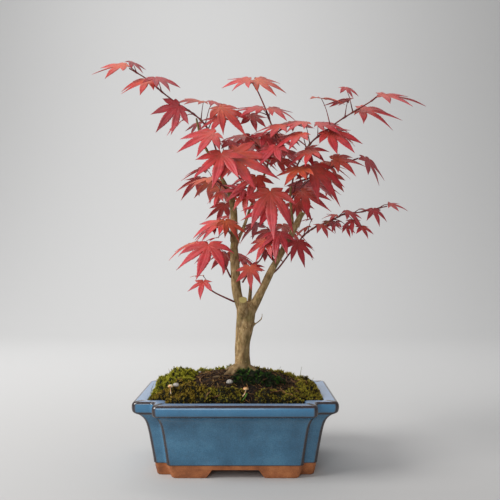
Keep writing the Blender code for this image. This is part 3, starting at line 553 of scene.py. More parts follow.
FRONT_STUB = [((8, -2, 146), 4.8), ((7, -11, 155), 4.6), ((7, -16, 163), 4.3), ((7, -18, 169), 4.1)]
BACK_STUB = [((13, 6, 153), 3.0), ((14, 9, 170), 2.1), ((15, 9, 182), 1.9)]
DEAD_TWIG = [((15, 0, 136), 1.4), ((20, 0, 141), 0.9), ((26, -1, 146), 0.8), ((27, 0, 152), 0.6)]
RIGHT_TWIG = [((58, -4, 236), 2.0), ((59, 3, 251), 1.7), ((58, 6, 264), 1.5), ((57, 6, 277), 1.4),
              ((58, 4, 287), 1.2)]
CENTRE_TWIG = [((-2, 1, 218), 2.2), ((2, 5, 230), 1.8), ((8, 5, 245), 1.7), ((14, 3, 262), 1.6),
               ((20, 0, 277), 1.5), ((27, -2, 292), 1.4), ((33, -2, 310), 1.3), ((38, -2, 323), 1.2),
               ((45, -3, 332), 1.0)]
SIDE_STUB = [((62, -5, 244), 2.4), ((66, -5, 245), 2.0)]
ROOTS = [
    [(3, -4, 99), (-12, -14, 95), (-25, -20, 92), (-36, -27, 88)],
    [(4, 4, 98), (-14, 14, 95), (-34, 22, 92)],
    [(9, 4, 98), (28, 13, 93), (46, 20, 89)],
    [(9, -3, 97), (30, -7, 93), (50, -9, 89), (62, -14, 86)],
    [(2, -5, 97), (-5, -19, 93), (-16, -31, 88)],
]
ROOT_RADIUS = 2.6

# %% Routes of the young shoots
SHOOTS = {
    "upper_left": [(-16, 4, 295), (-19, 0, 314), (-25, -4, 334), (-33, -7, 350), (-45, -9, 361),
                   (-61, -11, 371), (-76, -12, 382), (-94, -13, 397), (-112, -13, 408)],
    "top": [(43, -3, 329), (40, -3, 343), (36, -3, 353), (32, -4, 364), (27, -4, 376),
            (22, -4, 387), (16, -5, 396)],
    "upper_right": [(58, 4, 284), (62, 0, 303), (70, -4, 319), (79, -8, 332), (92, -10, 342),
                    (108, -10, 354), (127, -9, 366), (140, -8, 374), (149, -4, 381)],
    "right": [(58, 5, 282), (65, 3, 291), (74, 2, 294), (86, 0, 299), (100, -2, 306),
              (116, -3, 311), (128, -4, 315)],
    "right_inner": [(57, 6, 275), (62, 12, 283), (63, 14, 290)],
    "front": [(27, -2, 291), (11, -12, 283), (2, -30, 293), (-5, -40, 300), (-11, -46, 307)],
    "inner": [(35, -2, 315), (29, 6, 326), (20, 16, 333)],
    "centre": [(26, -2, 289), (24, -14, 284), (28, -26, 279), (32, -38, 276)],
    "left": [(-8, 4, 279), (-14, -3, 286), (-21, -5, 291)],
    "left_middle": [(-3, 0, 230), (-8, -10, 238), (-12, -14, 244)],
    "left_front": [(-2, -4, 184), (-7, -9, 192), (-11, -13, 201), (-16, -20, 212), (-23, -32, 221)],
    "left_low": [(3, -4, 162), (-12, -9, 169), (-22, -11, 174), (-29, -13, 179), (-33, -14, 184)],
    "fork": [(1, -1, 176), (11, -5, 192), (18, -8, 201), (26, -9, 210), (30, -11, 222)],
    "limb": [(47, -4, 216), (48, 5, 223), (52, 11, 230)],
    "right_low": [(32, -2, 189), (44, 8, 199), (57, 9, 216), (64, 7, 225), (71, 3, 234),
                  (80, 0, 241), (89, -3, 245), (102, -3, 251), (115, -4, 257), (127, -3, 258),
                  (142, -4, 261), (159, 0, 265)],
    "back_left": [(-6, 4, 273), (-14, 22, 282), (-26, 42, 296), (-36, 58, 304)],
    "back_top": [(34, -2, 312), (32, 16, 322), (28, 36, 338), (24, 52, 350)],
    "back_right": [(57, 6, 270), (66, 24, 284), (80, 42, 298), (94, 56, 306)],
    "back_middle": [(46, -4, 213), (44, 14, 224), (38, 34, 238), (34, 50, 246)],
    "back_low": [(-1, -2, 195), (-6, 16, 206), (-14, 34, 218)],
}
SHOOT_RADIUS = (1.15, 0.75)  # where a shoot leaves the wood, and at its tip

# %% Leaves of each shoot
# End of the stalk, bearing and dip of the middle lobe, lean to one side, and length
LEAVES = {
    "upper_left": [(-116, -18, 410, 195, 15, 30, 33), (-110, -8, 415, 330, 35, -10, 20),
                   (-90, -20, 392, 215, 25, 25, 32), (-82, -14, 394, 320, 30, -15, 30),
                   (-59, -22, 366, 195, 42, 70, 32), (-35, -5, 375, 190, -5, 20, 30),
                   (-26, 6, 378, 345, 25, -15, 30), (-60, 10, 358, 210, 35, 0, 20),
                   (-43, 4, 356, 240, 50, 0, 18), (-15, -5, 356, 200, 20, 30, 30),
                   (-13, -12, 363, 330, 40, -30, 38)],
    "top": [(13, -6, 398, 185, 8, 35, 30), (21, -2, 399, 350, 15, -35, 34),
            (25, -6, 368, 185, 5, 25, 34), (36, -4, 368, 350, 15, -25, 30),
            (15, 5, 365, 290, 50, 0, 28), (33, 5, 345, 185, 5, 20, 25),
            (49, 10, 343, 0, 10, -20, 30), (51, -5, 324, 300, 30, 0, 26),
            (56, 8, 356, 320, 15, -20, 30), (46, -18, 347, 200, 20, 20, 32),
            (30, -20, 341, 300, 40, 0, 30), (40, -22, 322, 230, 40, 10, 32),
            (44, -14, 312, 320, 35, -10, 34)],
    "upper_right": [(71, -15, 351, 190, 5, 20, 33), (85, -8, 350, 355, 5, -25, 32),
                    (88, -18, 371, 300, 15, 0, 30), (115, -5, 390, 290, 40, 0, 19),
                    (131, -14, 368, 350, 8, -30, 45), (154, -2, 383, 355, 8, -25, 45),
                    (96, -20, 341, 325, 35, -30, 40), (72, -14, 322, 320, 20, -40, 28),
                    (66, -25, 336, 200, 25, 20, 34), (120, -10, 374, 190, 10, 0, 26),
                    (98, -4, 347, 20, 10, -20, 32)],
    "right": [(102, -8, 313, 355, 0, -40, 34), (136, -4, 315, 320, 55, 0, 32),
              (78, -16, 305, 330, 45, -30, 44), (64, -30, 300, 235, 30, 10, 32),
              (84, -26, 322, 210, 25, 15, 34)],
    "right_inner": [(69, -5, 280, 330, 30, -35, 36), (64, 15, 289, 300, 50, 0, 22)],
    "front": [(-14, -50, 312, 262, 55, 0, 42), (-4, -42, 311, 345, 25, -45, 55),
              (-22, -35, 334, 200, 20, 35, 42), (-8, -30, 329, 340, 35, -20, 30),
              (14, -30, 318, 330, 35, -10, 36)],
    "inner": [(14, 20, 334, 270, 30, 0, 28), (20, -8, 322, 200, 30, 20, 30), (6, 6, 342, 200, 15, 20, 30)],
    "centre": [(34, -45, 275, 275, 65, 0, 44), (34, -34, 262, 200, 25, 40, 34),
               (7, -20, 280, 190, 5, 40, 28), (10, -24, 277, 260, 60, 0, 24),
               (7, 5, 294, 190, 25, 0, 22), (20, -24, 292, 250, 45, 10, 34)],
    "left": [(-26, -6, 294, 185, 10, 15, 36), (-18, -8, 278, 235, 50, 0, 18)],
    "left_middle": [(-15, -14, 247, 190, 12, 25, 32), (-5, 4, 254, 175, 0, 20, 14),
                    (-11, -20, 244, 320, 40, -10, 27), (-19, -18, 231, 190, 10, 0, 16),
                    (-24, -6, 242, 200, 25, 10, 24)],
    "left_front": [(-27, -40, 223, 263, 40, 0, 45), (-42, -10, 226, 190, 20, 10, 30)],
    "left_low": [(-34, -15, 186, 255, 45, 0, 22), (-35, -10, 192, 180, 0, 0, 14)],
    "fork": [(14, -14, 201, 270, 65, 0, 24), (10, -6, 206, 200, -20, 0, 12),
             (16, -4, 201, 10, -10, -40, 15), (31, -12, 229, 235, 50, 10, 27)],
    "limb": [(52, 8, 232, 190, 10, 30, 30), (60, 4, 227, 290, 60, 0, 28),
             (67, 0, 226, 330, 35, -15, 20), (36, 14, 219, 300, 40, 0, 24),
             (44, -8, 236, 250, 45, 10, 30)],
    "right_low": [(88, -6, 245, 300, 35, 0, 19), (80, 4, 252, 170, 5, 0, 14),
                  (115, -5, 259, 320, 35, -10, 20), (105, 0, 255, 185, 0, 20, 16),
                  (143, -5, 261, 290, 50, 0, 21), (162, 2, 267, 350, 10, -25, 20),
                  (131, -8, 243, 290, 45, 0, 18), (116, -2, 244, 280, 50, 0, 13),
                  (105, 6, 249, 250, 40, 0, 16), (76, 6, 244, 200, 30, 0, 18),
                  (98, 4, 250, 300, 30, 0, 18), (122, -6, 250, 250, 45, 0, 18),
                  (134, 0, 262, 20, 5, -20, 16)],
    "back_left": [(-30, 50, 300, 100, 30, 0, 36), (-44, 64, 304, 140, 25, 0, 34),
                  (-20, 46, 290, 60, 35, 0, 32), (-36, 40, 312, 170, 20, 0, 30),
                  (-14, 30, 270, 120, 40, 0, 28)],
    "back_top": [(26, 46, 346, 90, 20, 0, 34), (14, 58, 352, 130, 30, 0, 32),
                 (40, 52, 352, 50, 25, 0, 34), (30, 30, 330, 10, 35, 0, 28),
                 (16, 34, 334, 170, 35, 0, 30), (46, 24, 330, 320, 30, 0, 30),
                 (4, 22, 318, 230, 35, 0, 30)],
    "back_right": [(88, 50, 302, 40, 25, 0, 38), (104, 60, 308, 80, 30, 0, 34),
                   (74, 46, 296, 110, 30, 0, 34), (98, 40, 318, 10, 20, 0, 32),
                   (66, 30, 272, 70, 45, 0, 30)],
    "back_middle": [(36, 44, 242, 90, 25, 0, 34), (22, 52, 250, 140, 30, 0, 32),
                    (52, 50, 248, 40, 30, 0, 34), (30, 28, 232, 180, 40, 0, 28)],
    "back_low": [(-12, 32, 216, 100, 35, 0, 32), (-26, 40, 222, 150, 25, 0, 30),
                 (0, 38, 214, 50, 35, 0, 30)],
}

# %% [markdown]
# ## Finding room for the leaves
# Real leaves push each other aside as they open, so none passes through another. Here each leaf is tried
# as a plain star where it is meant to be; if it touches wood, a shoot or an earlier leaf, it moves a few
# millimetres, mostly to the front or back, until the star is clear. A BVH tree answers that question
# quickly. The finished blades sag, curl and have teeth, so a few of them still cross where it is crowded.

# %% Plain stars and stalks
LARGE_LOBES = [(-112, 0.34), (-75, 0.64), (-37, 0.88), (0, 1.0), (37, 0.88), (75, 0.64), (112, 0.34)]
SMALL_LOBES = [(-92, 0.45), (-46, 0.82), (0, 1.0), (46, 0.82), (92, 0.45)]
SMALL_LEAF = 24  # shorter leaves have five lobes
BLADE_THICK = 1.0
VALLEY = 0.25  # where two lobes part, as a share of the leaf's length
EAR_ANGLE, EAR_SHARE = 158, 0.07  # the leaf's heel, either side of the stalk
DROOP = 0.3
STALK_RADIUS = 0.7
SHIFT_STEP = 4
MOST_SHIFTS = (3, 8, 3)  # along x, y and z
CLEAR = 0.4


def leaf_axes(bearing, dip, lean):
    """Directions of a leaf: along its middle lobe, to its left, and out of its upper face."""
    turn, fall = math.radians(bearing), math.radians(dip)
    along = Vector((math.cos(turn) * math.cos(fall), math.sin(turn) * math.cos(fall), -math.sin(fall)))
    level = Vector((-math.sin(turn), math.cos(turn), 0))
    face = Matrix.Rotation(math.radians(-lean), 3, along) @ along.cross(level)
    return along, face.cross(along), face


def lobes_of(length):
    return LARGE_LOBES if length >= SMALL_LEAF else SMALL_LOBES


def plain_star(stalk_end, bearing, dip, lean, length, thick):
    """A closed star: two fans from the stalk's end share one outline of narrow pointed lobes."""
    along, left, face = leaf_axes(bearing, dip, lean)
    lobes = lobes_of(length)
    polar = [(-EAR_ANGLE, EAR_SHARE)]
    for (angle, share), (following, more) in zip(lobes, lobes[1:]):
        polar += [(angle, share), ((angle + following) / 2, VALLEY)]
    polar += [lobes[-1], (EAR_ANGLE, EAR_SHARE)]
    outline = []
    for angle, share in polar:
        turn = math.radians(angle)
        reach = length * share
        place = stalk_end + reach * (math.cos(turn) * along + math.sin(turn) * left)
        outline.append(place - Vector((0, 0, DROOP * reach * share)))
    count = len(outline)
    points = outline + [stalk_end + face * thick / 2, stalk_end - face * thick / 2]
    faces = []
    for i in range(count):
        j = (i + 1) % count
        faces += [(count, i, j), (count + 1, j, i)]
    return points, faces


def stalk_route(route, stalk_end, step):
    """The leaf's stalk, leaving the shoot a little below the nearest place and arching up."""
    near = min(range(len(route)), key=lambda i: (route[i] - stalk_end).length)
    start = route[min(max(near - 3, 3), len(route) - 1)]
    bend = start.lerp(stalk_end, 0.5) + Vector((0, 0, 0.12 * (stalk_end - start).length))
    return smooth_route([start, bend, stalk_end], step)


def plain_stalk(route, stalk_end, radius):
    return tube(stalk_route(route, stalk_end, 16), [radius, radius * 0.8], 3)


# %% Soil surface and plain wood
SOIL_EDGE = 69.0
SOIL_RISE = 22.0


def soil_height(x, y):
    """Height of the heaped soil, before its crumbs."""
    share = (abs(x / 84.0) ** 4 + abs(y / 59.0) ** 4) ** 0.25
    return SOIL_EDGE + SOIL_RISE * max(0.0, 1 - share ** 2)


def root_route(points, step):
    lift = ROOT_RADIUS + 2 * CLEAR
    return smooth_route([points[0]] + [(x, y, soil_height(x, y) + lift) for x, y, z in points[1:]], step)


def plain_wood():
    """The wood in few faces, to test the leaves against."""
    radii = [ROOT_RADIUS, ROOT_RADIUS * 0.9, ROOT_RADIUS * 0.45]
    thick = [limb(points, 12, 8) for points in (TRUNK, LEFT_LIMB, RIGHT_LIMB, FRONT_STUB)]
    thin = [limb(points, 14, 5) for points in (BACK_STUB, DEAD_TWIG, RIGHT_TWIG, CENTRE_TWIG, SIDE_STUB)]
    return joined(thick + thin + [tube(root_route(points, 10), radii, 5) for points in ROOTS])


# %% Lay the shoots and leaves


def tree_of(shape):
    return BVHTree.FromPolygons(shape[0], shape[1])


def meets(tree, others):
    return any(tree.overlap(other) for other in others)


def shifts():
    """Small moves of a leaf, the least noticeable first: mostly to the front or back."""
    found = []
    for i in range(-MOST_SHIFTS[0], MOST_SHIFTS[0] + 1):
        for j in range(-MOST_SHIFTS[1], MOST_SHIFTS[1] + 1):
            for k in range(-MOST_SHIFTS[2], MOST_SHIFTS[2] + 1):
                found.append((3 * abs(i) + abs(j) + 3 * abs(k), i, j, k))
    return [SHIFT_STEP * Vector((i, j, k)) for cost, i, j, k in sorted(found)]


def trimmed(route, wood):
    """The shoot's route from where it has come out of the wood that bears it."""
    start = 0
    for i, p in enumerate(route):
        inside = wood.find_nearest(p)
        if inside[3] < SHOOT_RADIUS[0] + CLEAR or (p - inside[0]).dot(inside[1]) < 0:
            start = i + 1
    return route[start:]


def lay_leaves():
    """Each shoot's route, and its leaves with the places that they found."""
    wood = tree_of(plain_wood())
    routes = {name: trimmed(smooth_route(points, 3), wood) for name, points in SHOOTS.items()}
    stems = {name: tree_of(tube(route[:-1:4] + route[-1:], SHOOT_RADIUS, 4))
             for name, route in routes.items()}
    laid, moves, leaves = [wood], shifts(), {}
    for name, route in routes.items():
        others = [stem for other, stem in stems.items() if other != name]
        own_stalks = []
        leaves[name] = []
        for x, y, z, *turns, length in LEAVES[name]:
            for shift in moves:
                stalk_end = Vector((x, y, z)) + shift
                wide = tree_of(plain_star(stalk_end, *turns, length, 2 * BLADE_THICK))
                stalk = tree_of(plain_stalk(route, stalk_end, STALK_RADIUS + CLEAR))
                if meets(wide, laid + others + [stems[name]] + own_stalks) or meets(stalk, laid + others):
                    continue
                laid.append(wide)
                own_stalks.append(stalk)
                leaves[name].append((stalk_end, *turns, length))
                break
        laid += own_stalks
    return routes, leaves


shoot_routes, laid_leaves = lay_leaves()
print("laid", sum(len(found) for found in laid_leaves.values()), "leaves on", len(shoot_routes), "shoots")

# %% [markdown]
# ## A maple leaf
# Five or seven narrow lobes meet in a small web at the end of the stalk. Each lobe is widest a third of
# the way out, ends in a long thread-like tip, has teeth along both margins and folds up a little along
# its midrib. It could be cut from a flat sheet with a picture of a leaf, but then it would have no teeth
# in the mesh and no fold. Here each half lobe is a strip of cells from midrib to margin; strips share
# the lines where they meet, so that the web closes. Every lobe bends and curls by its own seeded amount.

# %% One lobe
WEB_ROWS = 3
LOBE_ROWS = 20
LOBE_WIDTHS = [(0.0, 0.085), (0.2, 0.122), (0.38, 0.128), (0.58, 0.098), (0.78, 0.046), (0.92, 0.014),
               (1.0, 0.0)]  # share of the way out, and half the width as a share of the lobe's length
TOOTH = 0.02
FOLD = 0.22  # how much a lobe rises from its midrib to its margin
HEEL = 0.09  # length of the outermost lobes' heel, as a share of the leaf's length
SAG_LEAST, SAG_MOST = 0.2, 0.9  # share of the full droop that a leaf has
BEND, CURL_LEAST, CURL_MOST, TWIST = 0.12, -0.06, 0.12, 0.5


def from_table(table, place):
    """The value at a place, from (place, value) pairs in order."""
    for (a, low), (b, high) in zip(table, table[1:]):
        if place <= b:
            return low + (high - low) * (place - a) / (b - a)
    return table[-1][1]


def margin_rows(reach, half_angle, valley):
    """(distance along, half width) of one margin: first the web's edge, then the toothed lobe."""
    rows = [(valley * k / WEB_ROWS * math.cos(half_angle), valley * k / WEB_ROWS * math.sin(half_angle))
            for k in range(WEB_ROWS + 1)]
    start, width = rows[-1]
    for k in range(1, LOBE_ROWS + 1):
        s = k / LOBE_ROWS
        wide = reach * from_table(LOBE_WIDTHS, s) + (width - reach * LOBE_WIDTHS[0][1]) * (1 - s) ** 3
        tooth = TOOTH * reach * (1 - s) if k % 2 == 0 else 0.0
        rows.append((start + (reach - start) * s + tooth / 2, max(0.0, wide + tooth)))
    return rows


# %% One leaf


def leaf_shape(rng, stalk_end, bearing, dip, lean, length):
    """The leaf as an open sheet: points, faces, a (across, along) pair and a web share for each point."""
    along, left, face = leaf_axes(bearing, dip, lean)
    lobes = lobes_of(length)
    points, faces, veins, webs = [], [], [], []
    sag = rng.uniform(SAG_LEAST, SAG_MOST) * DROOP
    for i, (angle, share) in enumerate(lobes):
        reach = length * share * rng.uniform(0.95, 1.04)
        bend = rng.uniform(-BEND, BEND)
        curl = rng.uniform(CURL_LEAST, CURL_MOST)
        twist = rng.uniform(-TWIST, TWIST)
        cos, sin = math.cos(math.radians(angle)), math.sin(math.radians(angle))
        for side, other in ((-1, i - 1), (1, i + 1)):
            if 0 <= other < len(lobes):
                half_angle, valley = math.radians(abs(lobes[other][0] - angle) / 2), VALLEY * length
            else:
                half_angle, valley = math.radians(EAR_ANGLE - abs(angle)), HEEL * length
            first = len(points)
            rows = margin_rows(reach, half_angle, valley)
            for k, (far, wide) in enumerate(rows):
                s = max(0.0, (k - WEB_ROWS) / LOBE_ROWS)
                middle = VALLEY * length * min(k, WEB_ROWS) / WEB_ROWS
                middle += (reach - VALLEY * length) * s
                for column in range(3):
                    across = column / 2
                    x = middle + (far - middle) * across ** 1.5
                    y = side * wide * across
                    lift = FOLD * abs(y) + y * twist * s
                    y += bend * reach * s * s
                    flat_x, flat_y = x * cos - y * sin, x * sin + y * cos
                    radius = math.hypot(flat_x, flat_y)
                    place = stalk_end + flat_x * along + flat_y * left + lift * face
                    place.z -= sag * radius * radius / length + curl * reach * s ** 2.2
                    points.append(place)
                    veins.append((0.5 + 0.5 * side * across, k / (WEB_ROWS + LOBE_ROWS)))
                    webs.append(max(0.0, 1 - radius / (0.6 * length)))
            for k in range(len(rows) - 1):
                for column in range(2):
                    a = first + 3 * k + column
                    ring = (a, a + 1, a + 4, a + 3)
                    faces.append(ring[::-1] if side < 0 else ring)
    return points, faces, veins, webs


# %% Shoots and their leaves as meshes
BLADE = 0.3  # thicker than the real 0.1 mm, so that the edge catches light
STALK = (0.5, 0.36)
rng = random.Random(11)


def foliage(name):
    """All the blades of a shoot in one object, with their veins as UV and tint and web as attributes."""
    points, faces, veins, webs, tints = [], [], [], [], []
    for leaf in laid_leaves[name]:
        more_points, more_faces, more_veins, more_webs = leaf_shape(rng, *leaf)
        start = len(points)
        points += more_points
        faces += [tuple(start + i for i in face) for face in more_faces]
        veins += more_veins
        webs += more_webs
        tints += [rng.random()] * len(more_points)
    made = new_object("foliage_" + name, (points, faces))
    layer = made.data.uv_layers.new(name="veins")
    for loop in made.data.loops:
        layer.data[loop.index].uv = veins[loop.vertex_index]
    for title, values in (("web", webs), ("tint", tints)):
        made.data.attributes.new(title, "FLOAT", "POINT").data.foreach_set("value", values)
    sheet = bmesh.new()
    sheet.from_mesh(made.data)
    bmesh.ops.remove_doubles(sheet, verts=sheet.verts, dist=0.02 * MM)
    bmesh.ops.dissolve_degenerate(sheet, edges=sheet.edges, dist=0.01 * MM)
    sheet.to_mesh(made.data)
    sheet.free()
    wall = made.modifiers.new("blade", "SOLIDIFY")
    wall.thickness = BLADE * MM
    wall.offset = 0.0
    return baked(made)


def twigs(name):
    """A shoot with a small knuckle where each stalk leaves it, and the stalks."""
    route = shoot_routes[name]
    knuckles = [stalk_route(route, leaf[0], 4)[0] for leaf in laid_leaves[name]]
    radii = []
    for i, p in enumerate(route):
        plain = SHOOT_RADIUS[0] + (SHOOT_RADIUS[1] - SHOOT_RADIUS[0]) * i / (len(route) - 1)
        near = min([(p - knuckle).length for knuckle in knuckles] + [9.0])
        radii.append(plain * (0.85 + 0.5 * max(0.0, 1 - near / 3.2)))
    shapes = [tube(route, radii, 8)]
    for leaf in laid_leaves[name]:
        path = stalk_route(route, leaf[0], 4)
        shapes.append(tube(path, [STALK[0] * 1.5, STALK[0], STALK[1], STALK[1]], 5))
    return new_object("twigs_" + name, joined(shapes))

# %% [markdown]
# ## Trunk, limbs and surface roots
# The trunk is old wood: round but never regular, fluted where it meets the roots, swollen where limbs
# leave it, and cut clean where a leader was removed. Separate tubes would show a crease at each fork.
# Remeshing all of them together as voxels melts them into one skin, as wood does when it grows over a
# fork, and a few passes of smoothing take the voxel steps away. Then noise along the grain moves the skin,
# and the points beyond each saw cut are pressed flat onto the plane of that cut.

# %% One skin from many tubes
SKIN_VOXEL = 0.75
SMOOTH_PASSES = 6


def root_tubes():
    radii = [ROOT_RADIUS * 1.3, ROOT_RADIUS, ROOT_RADIUS * 0.6, ROOT_RADIUS * 0.4]
    sunk = Vector((0, 0, ROOT_RADIUS + 2.2))
    routes = [root_route(points, 3) for points in ROOTS]
    routes = [[p - sunk * min(1.0, k / 6) for k, p in enumerate(route)] for route in routes]
    return [tube(route, radii, 12) for route in routes]


def grown_skin():
    thick = [limb(points, 3, 24) for points in (TRUNK, LEFT_LIMB, RIGHT_LIMB, FRONT_STUB)]
    thin = [limb(points, 3, 14) for points in (BACK_STUB, DEAD_TWIG, RIGHT_TWIG, CENTRE_TWIG, SIDE_STUB)]
    made = new_object("maple_wood", joined(thick + thin + root_tubes()))
    skin = made.modifiers.new("skin", "REMESH")
    skin.mode = "VOXEL"
    skin.voxel_size = SKIN_VOXEL * MM
    even = made.modifiers.new("even", "SMOOTH")
    even.factor = 0.5
    even.iterations = SMOOTH_PASSES
    return baked(made)


# %% Bark relief
def lump(p, size, seed):
    """Smooth noise between -1 and 1 whose lumps are this many millimetres across, twice as long upwards."""
    return noise.noise(Vector((p.x / size, p.y / size, p.z / (2 * size))) + Vector((seed, 2 * seed, 0)))


def bark_relief(p, thickness):
    """How far the bark stands out: broad swellings, ridges along the grain, and flutes above the roots."""
    broad = 0.55 * lump(p, 9, 3)
    ridges = 0.16 * lump(Vector((p.x, p.y, p.z * 0.35)), 2.6, 8)
    turn = math.atan2(p.y, p.x - TRUNK[0][0][0])
    flute = 0.9 * math.cos(5 * turn + 0.6) * max(0.0, 1 - (p.z - 88) / 22) if p.z > 88 else 0.0
    return (broad + ridges) * min(1.0, thickness / 6) + flute


def thickness_at(p):
    """Radius of the wood whose middle line is nearest."""
    best, radius = 1e9, 1.0
    for wood in (TRUNK, LEFT_LIMB, RIGHT_LIMB, FRONT_STUB):
        for (a, ra), (b, rb) in zip(wood, wood[1:]):
            far = chord_distance(p, Vector(a), Vector(b)) - (ra + rb) / 2
            if far < best:
                best, radius = far, (ra + rb) / 2
    return radius


# %% Saw cuts
# Middle of each cut face, the way it faces, and its radius
CUTS = [((6.8, -18.2, 167), (0.03, -0.72, 0.69), 4.4), ((69.5, -5, 258), (0.35, -0.25, 0.9), 3.8),
        ((15, 9, 181), (0.1, -0.2, 1.0), 2.6), ((-5.8, 0.6, 223), (-0.55, -0.75, 0.35), 3.4)]


def press_cuts(made):
    """Flattens the skin onto each cut and returns how far each point is from a cut's rim, inwards."""
    cut_share = [0.0] * len(made.data.vertices)
    for middle, facing, radius in CUTS:
        centre, normal = Vector(middle), Vector(facing).normalized()
        for v in made.data.vertices:
            p = (v.co - HOME) / MM
            off = p - centre
            if off.length > radius + 4:
                continue
            height = off.dot(normal)
            flat = (off - normal * height).length
            if flat < radius + 1 and height > 0:
                p -= normal * height
                v.co = p * MM + HOME
                cut_share[v.index] = max(cut_share[v.index], 1 - 0.8 * flat / radius)
    return cut_share


# %% Bark material


def maple_bark():
    """Old maple bark: thin, dry and tan, with grey-olive patches of algae, brown in the hollows, darker
    olive brown towards the foot, and dotted with pale breathing pores. Cut faces are pale wood with rings."""
    made, tree, shader = new_material("old_maple_bark")
    place = add(tree, "ShaderNodeTexCoord").outputs["Object"]
    grain_place = add(tree, "ShaderNodeMapping", {"Vector": place, "Scale": (1.0, 1.0, 0.4)}).outputs[0]
    patches = add(tree, "ShaderNodeTexNoise", {"Vector": place, "Scale": per_mm(11), "Detail": 4.0,
                                               "Roughness": 0.6})
    grain = add(tree, "ShaderNodeTexNoise", {"Vector": grain_place, "Scale": per_mm(2.2), "Detail": 4.0,
                                             "Roughness": 0.55})
    tan = add(tree, "ShaderNodeValToRGB", {"Fac": grain.outputs["Fac"]},
              [(0.28, "#5c4526"), (0.42, "#866a42"), (0.56, "#a1855a"), (0.74, "#b59c74")])
    algae = add(tree, "ShaderNodeMapRange", {"Value": patches.outputs["Fac"], "From Min": 0.48,
                                             "From Max": 0.66, "To Max": 0.55})
    olive = add(tree, "ShaderNodeMix", {"Factor": algae.outputs[0], 6: tan.outputs["Color"],
                                        7: linear("#6b6433")}, data_type="RGBA")
    stain = add(tree, "ShaderNodeTexNoise", {"Vector": grain_place, "Scale": per_mm(4.5), "Detail": 3.0})
    brown = add(tree, "ShaderNodeMapRange", {"Value": stain.outputs["Fac"], "From Min": 0.52,
                                             "From Max": 0.7, "To Max": 0.6})
    stained = add(tree, "ShaderNodeMix", {"Factor": brown.outputs[0], 6: olive.outputs[2],
                                          7: linear("#54401f")}, data_type="RGBA")
    pores = add(tree, "ShaderNodeTexVoronoi", {"Vector": place, "Scale": per_mm(4.2)})
    pore = add(tree, "ShaderNodeMapRange", {"Value": pores.outputs["Distance"], "From Min": 0.09,
                                            "From Max": 0.16, "To Min": 0.55, "To Max": 0.0})
    dotted = add(tree, "ShaderNodeMix", {"Factor": pore.outputs[0], 6: stained.outputs[2],
                                         7: linear("#cbbd93")}, data_type="RGBA")
    height = add(tree, "ShaderNodeSeparateXYZ", {"Vector": place}).outputs["Z"]
    twig = add(tree, "ShaderNodeMapRange", {"Value": height, "From Min": 255 * MM, "From Max": 300 * MM,
                                            "To Max": 0.7})
    young = add(tree, "ShaderNodeMix", {"Factor": twig.outputs[0], 6: dotted.outputs[2],
                                        7: linear("#6a6530")}, data_type="RGBA")
    # Darker towards the foot: below about 100 to 112 mm the bark is mixed towards a dark olive brown, with a
    # ragged edge.
    ragged = add(tree, "ShaderNodeMath", {0: patches.outputs["Fac"], 1: 16 * MM, 2: height},
                 operation="MULTIPLY_ADD")
    foot = add(tree, "ShaderNodeMapRange", {"Value": ragged.outputs[0], "From Min": 98 * MM,
                                            "From Max": 112 * MM, "To Min": 0.85, "To Max": 0.0})
    darkened_foot = add(tree, "ShaderNodeMix", {"Factor": foot.outputs[0], 6: young.outputs[2],
                                       7: linear("#3a2c12")}, data_type="RGBA")
    cut = add(tree, "ShaderNodeAttribute", attribute_name="cut").outputs["Fac"]
    ring = add(tree, "ShaderNodeMath", {0: cut, 1: 30.0}, operation="MULTIPLY")
    ring = add(tree, "ShaderNodeMath", {0: ring.outputs[0]}, operation="SINE")
    face = add(tree, "ShaderNodeValToRGB", {"Fac": ring.outputs[0]}, [(0.0, "#a89a5e"), (1.0, "#8d7c44")])
    sawn = add(tree, "ShaderNodeMapRange", {"Value": cut, "From Min": 0.16, "From Max": 0.24})
    colour = add(tree, "ShaderNodeMix", {"Factor": sawn.outputs[0], 6: darkened_foot.outputs[2],
                                         7: face.outputs["Color"]}, data_type="RGBA")
    tree.links.new(colour.outputs[2], shader.inputs["Base Color"])
    shader.inputs["Roughness"].default_value = 0.82
    relief = add(tree, "ShaderNodeBump", {"Height": grain.outputs["Fac"], "Distance": 0.35 * MM,
                                          "Strength": 0.45})
    dots = add(tree, "ShaderNodeBump", {"Height": pore.outputs[0], "Distance": 0.3 * MM, "Strength": 0.6,
                                        "Normal": relief.outputs["Normal"]})
    tree.links.new(dots.outputs["Normal"], shader.inputs["Normal"])
    return made


# %% Make the wood
wood = grown_skin()
normals = [Vector(v.normal) for v in wood.data.vertices]
for v, normal in zip(wood.data.vertices, normals):
    p = (v.co - HOME) / MM
    v.co += normal * bark_relief(p, thickness_at(p)) * MM
wood.data.attributes.new("cut", "FLOAT", "POINT").data.foreach_set("value", press_cuts(wood))
wood.data.shade_smooth()
wood.data.materials.append(maple_bark())
settle(wood, "bark", "trunk")

# %% [markdown]
# ## Soil and moss
# Akadama and leaf mould fill the pot in a low mound, and cushions of moss have been laid on it. Up close
# both are made of small repeated things, crumbs and shoots, so Geometry Nodes scatters one small shape
# over each surface: points are strewn on the faces, an instance stands on each, and its size and turn come
# from a seeded random value. The last nodes make the instances real, because the plain mesh that each piece
# is turned into would keep none.

# %% Soil surface
SOIL_INSET = 0.8
SOIL_SPACING = 1.6
SOIL_RINGS = 40
RING_STEP = 0.024  # each ring is this share nearer to the trunk
INSIDE_SOIL = (83.0, 65.5)  # half length of the hollow's side and front panel at the soil's level


def inside_notches(x, y, inset):
    """How far a place is inside the pot's inner wall."""
    side_x, panel_x = INSIDE_SOIL
    long_way = min(side_x - abs(x), panel_x - PANEL_LESS - abs(y))
    short_way = min(panel_x - abs(x), side_x - SIDE_LESS - abs(y))
    return max(long_way, short_way) - inset


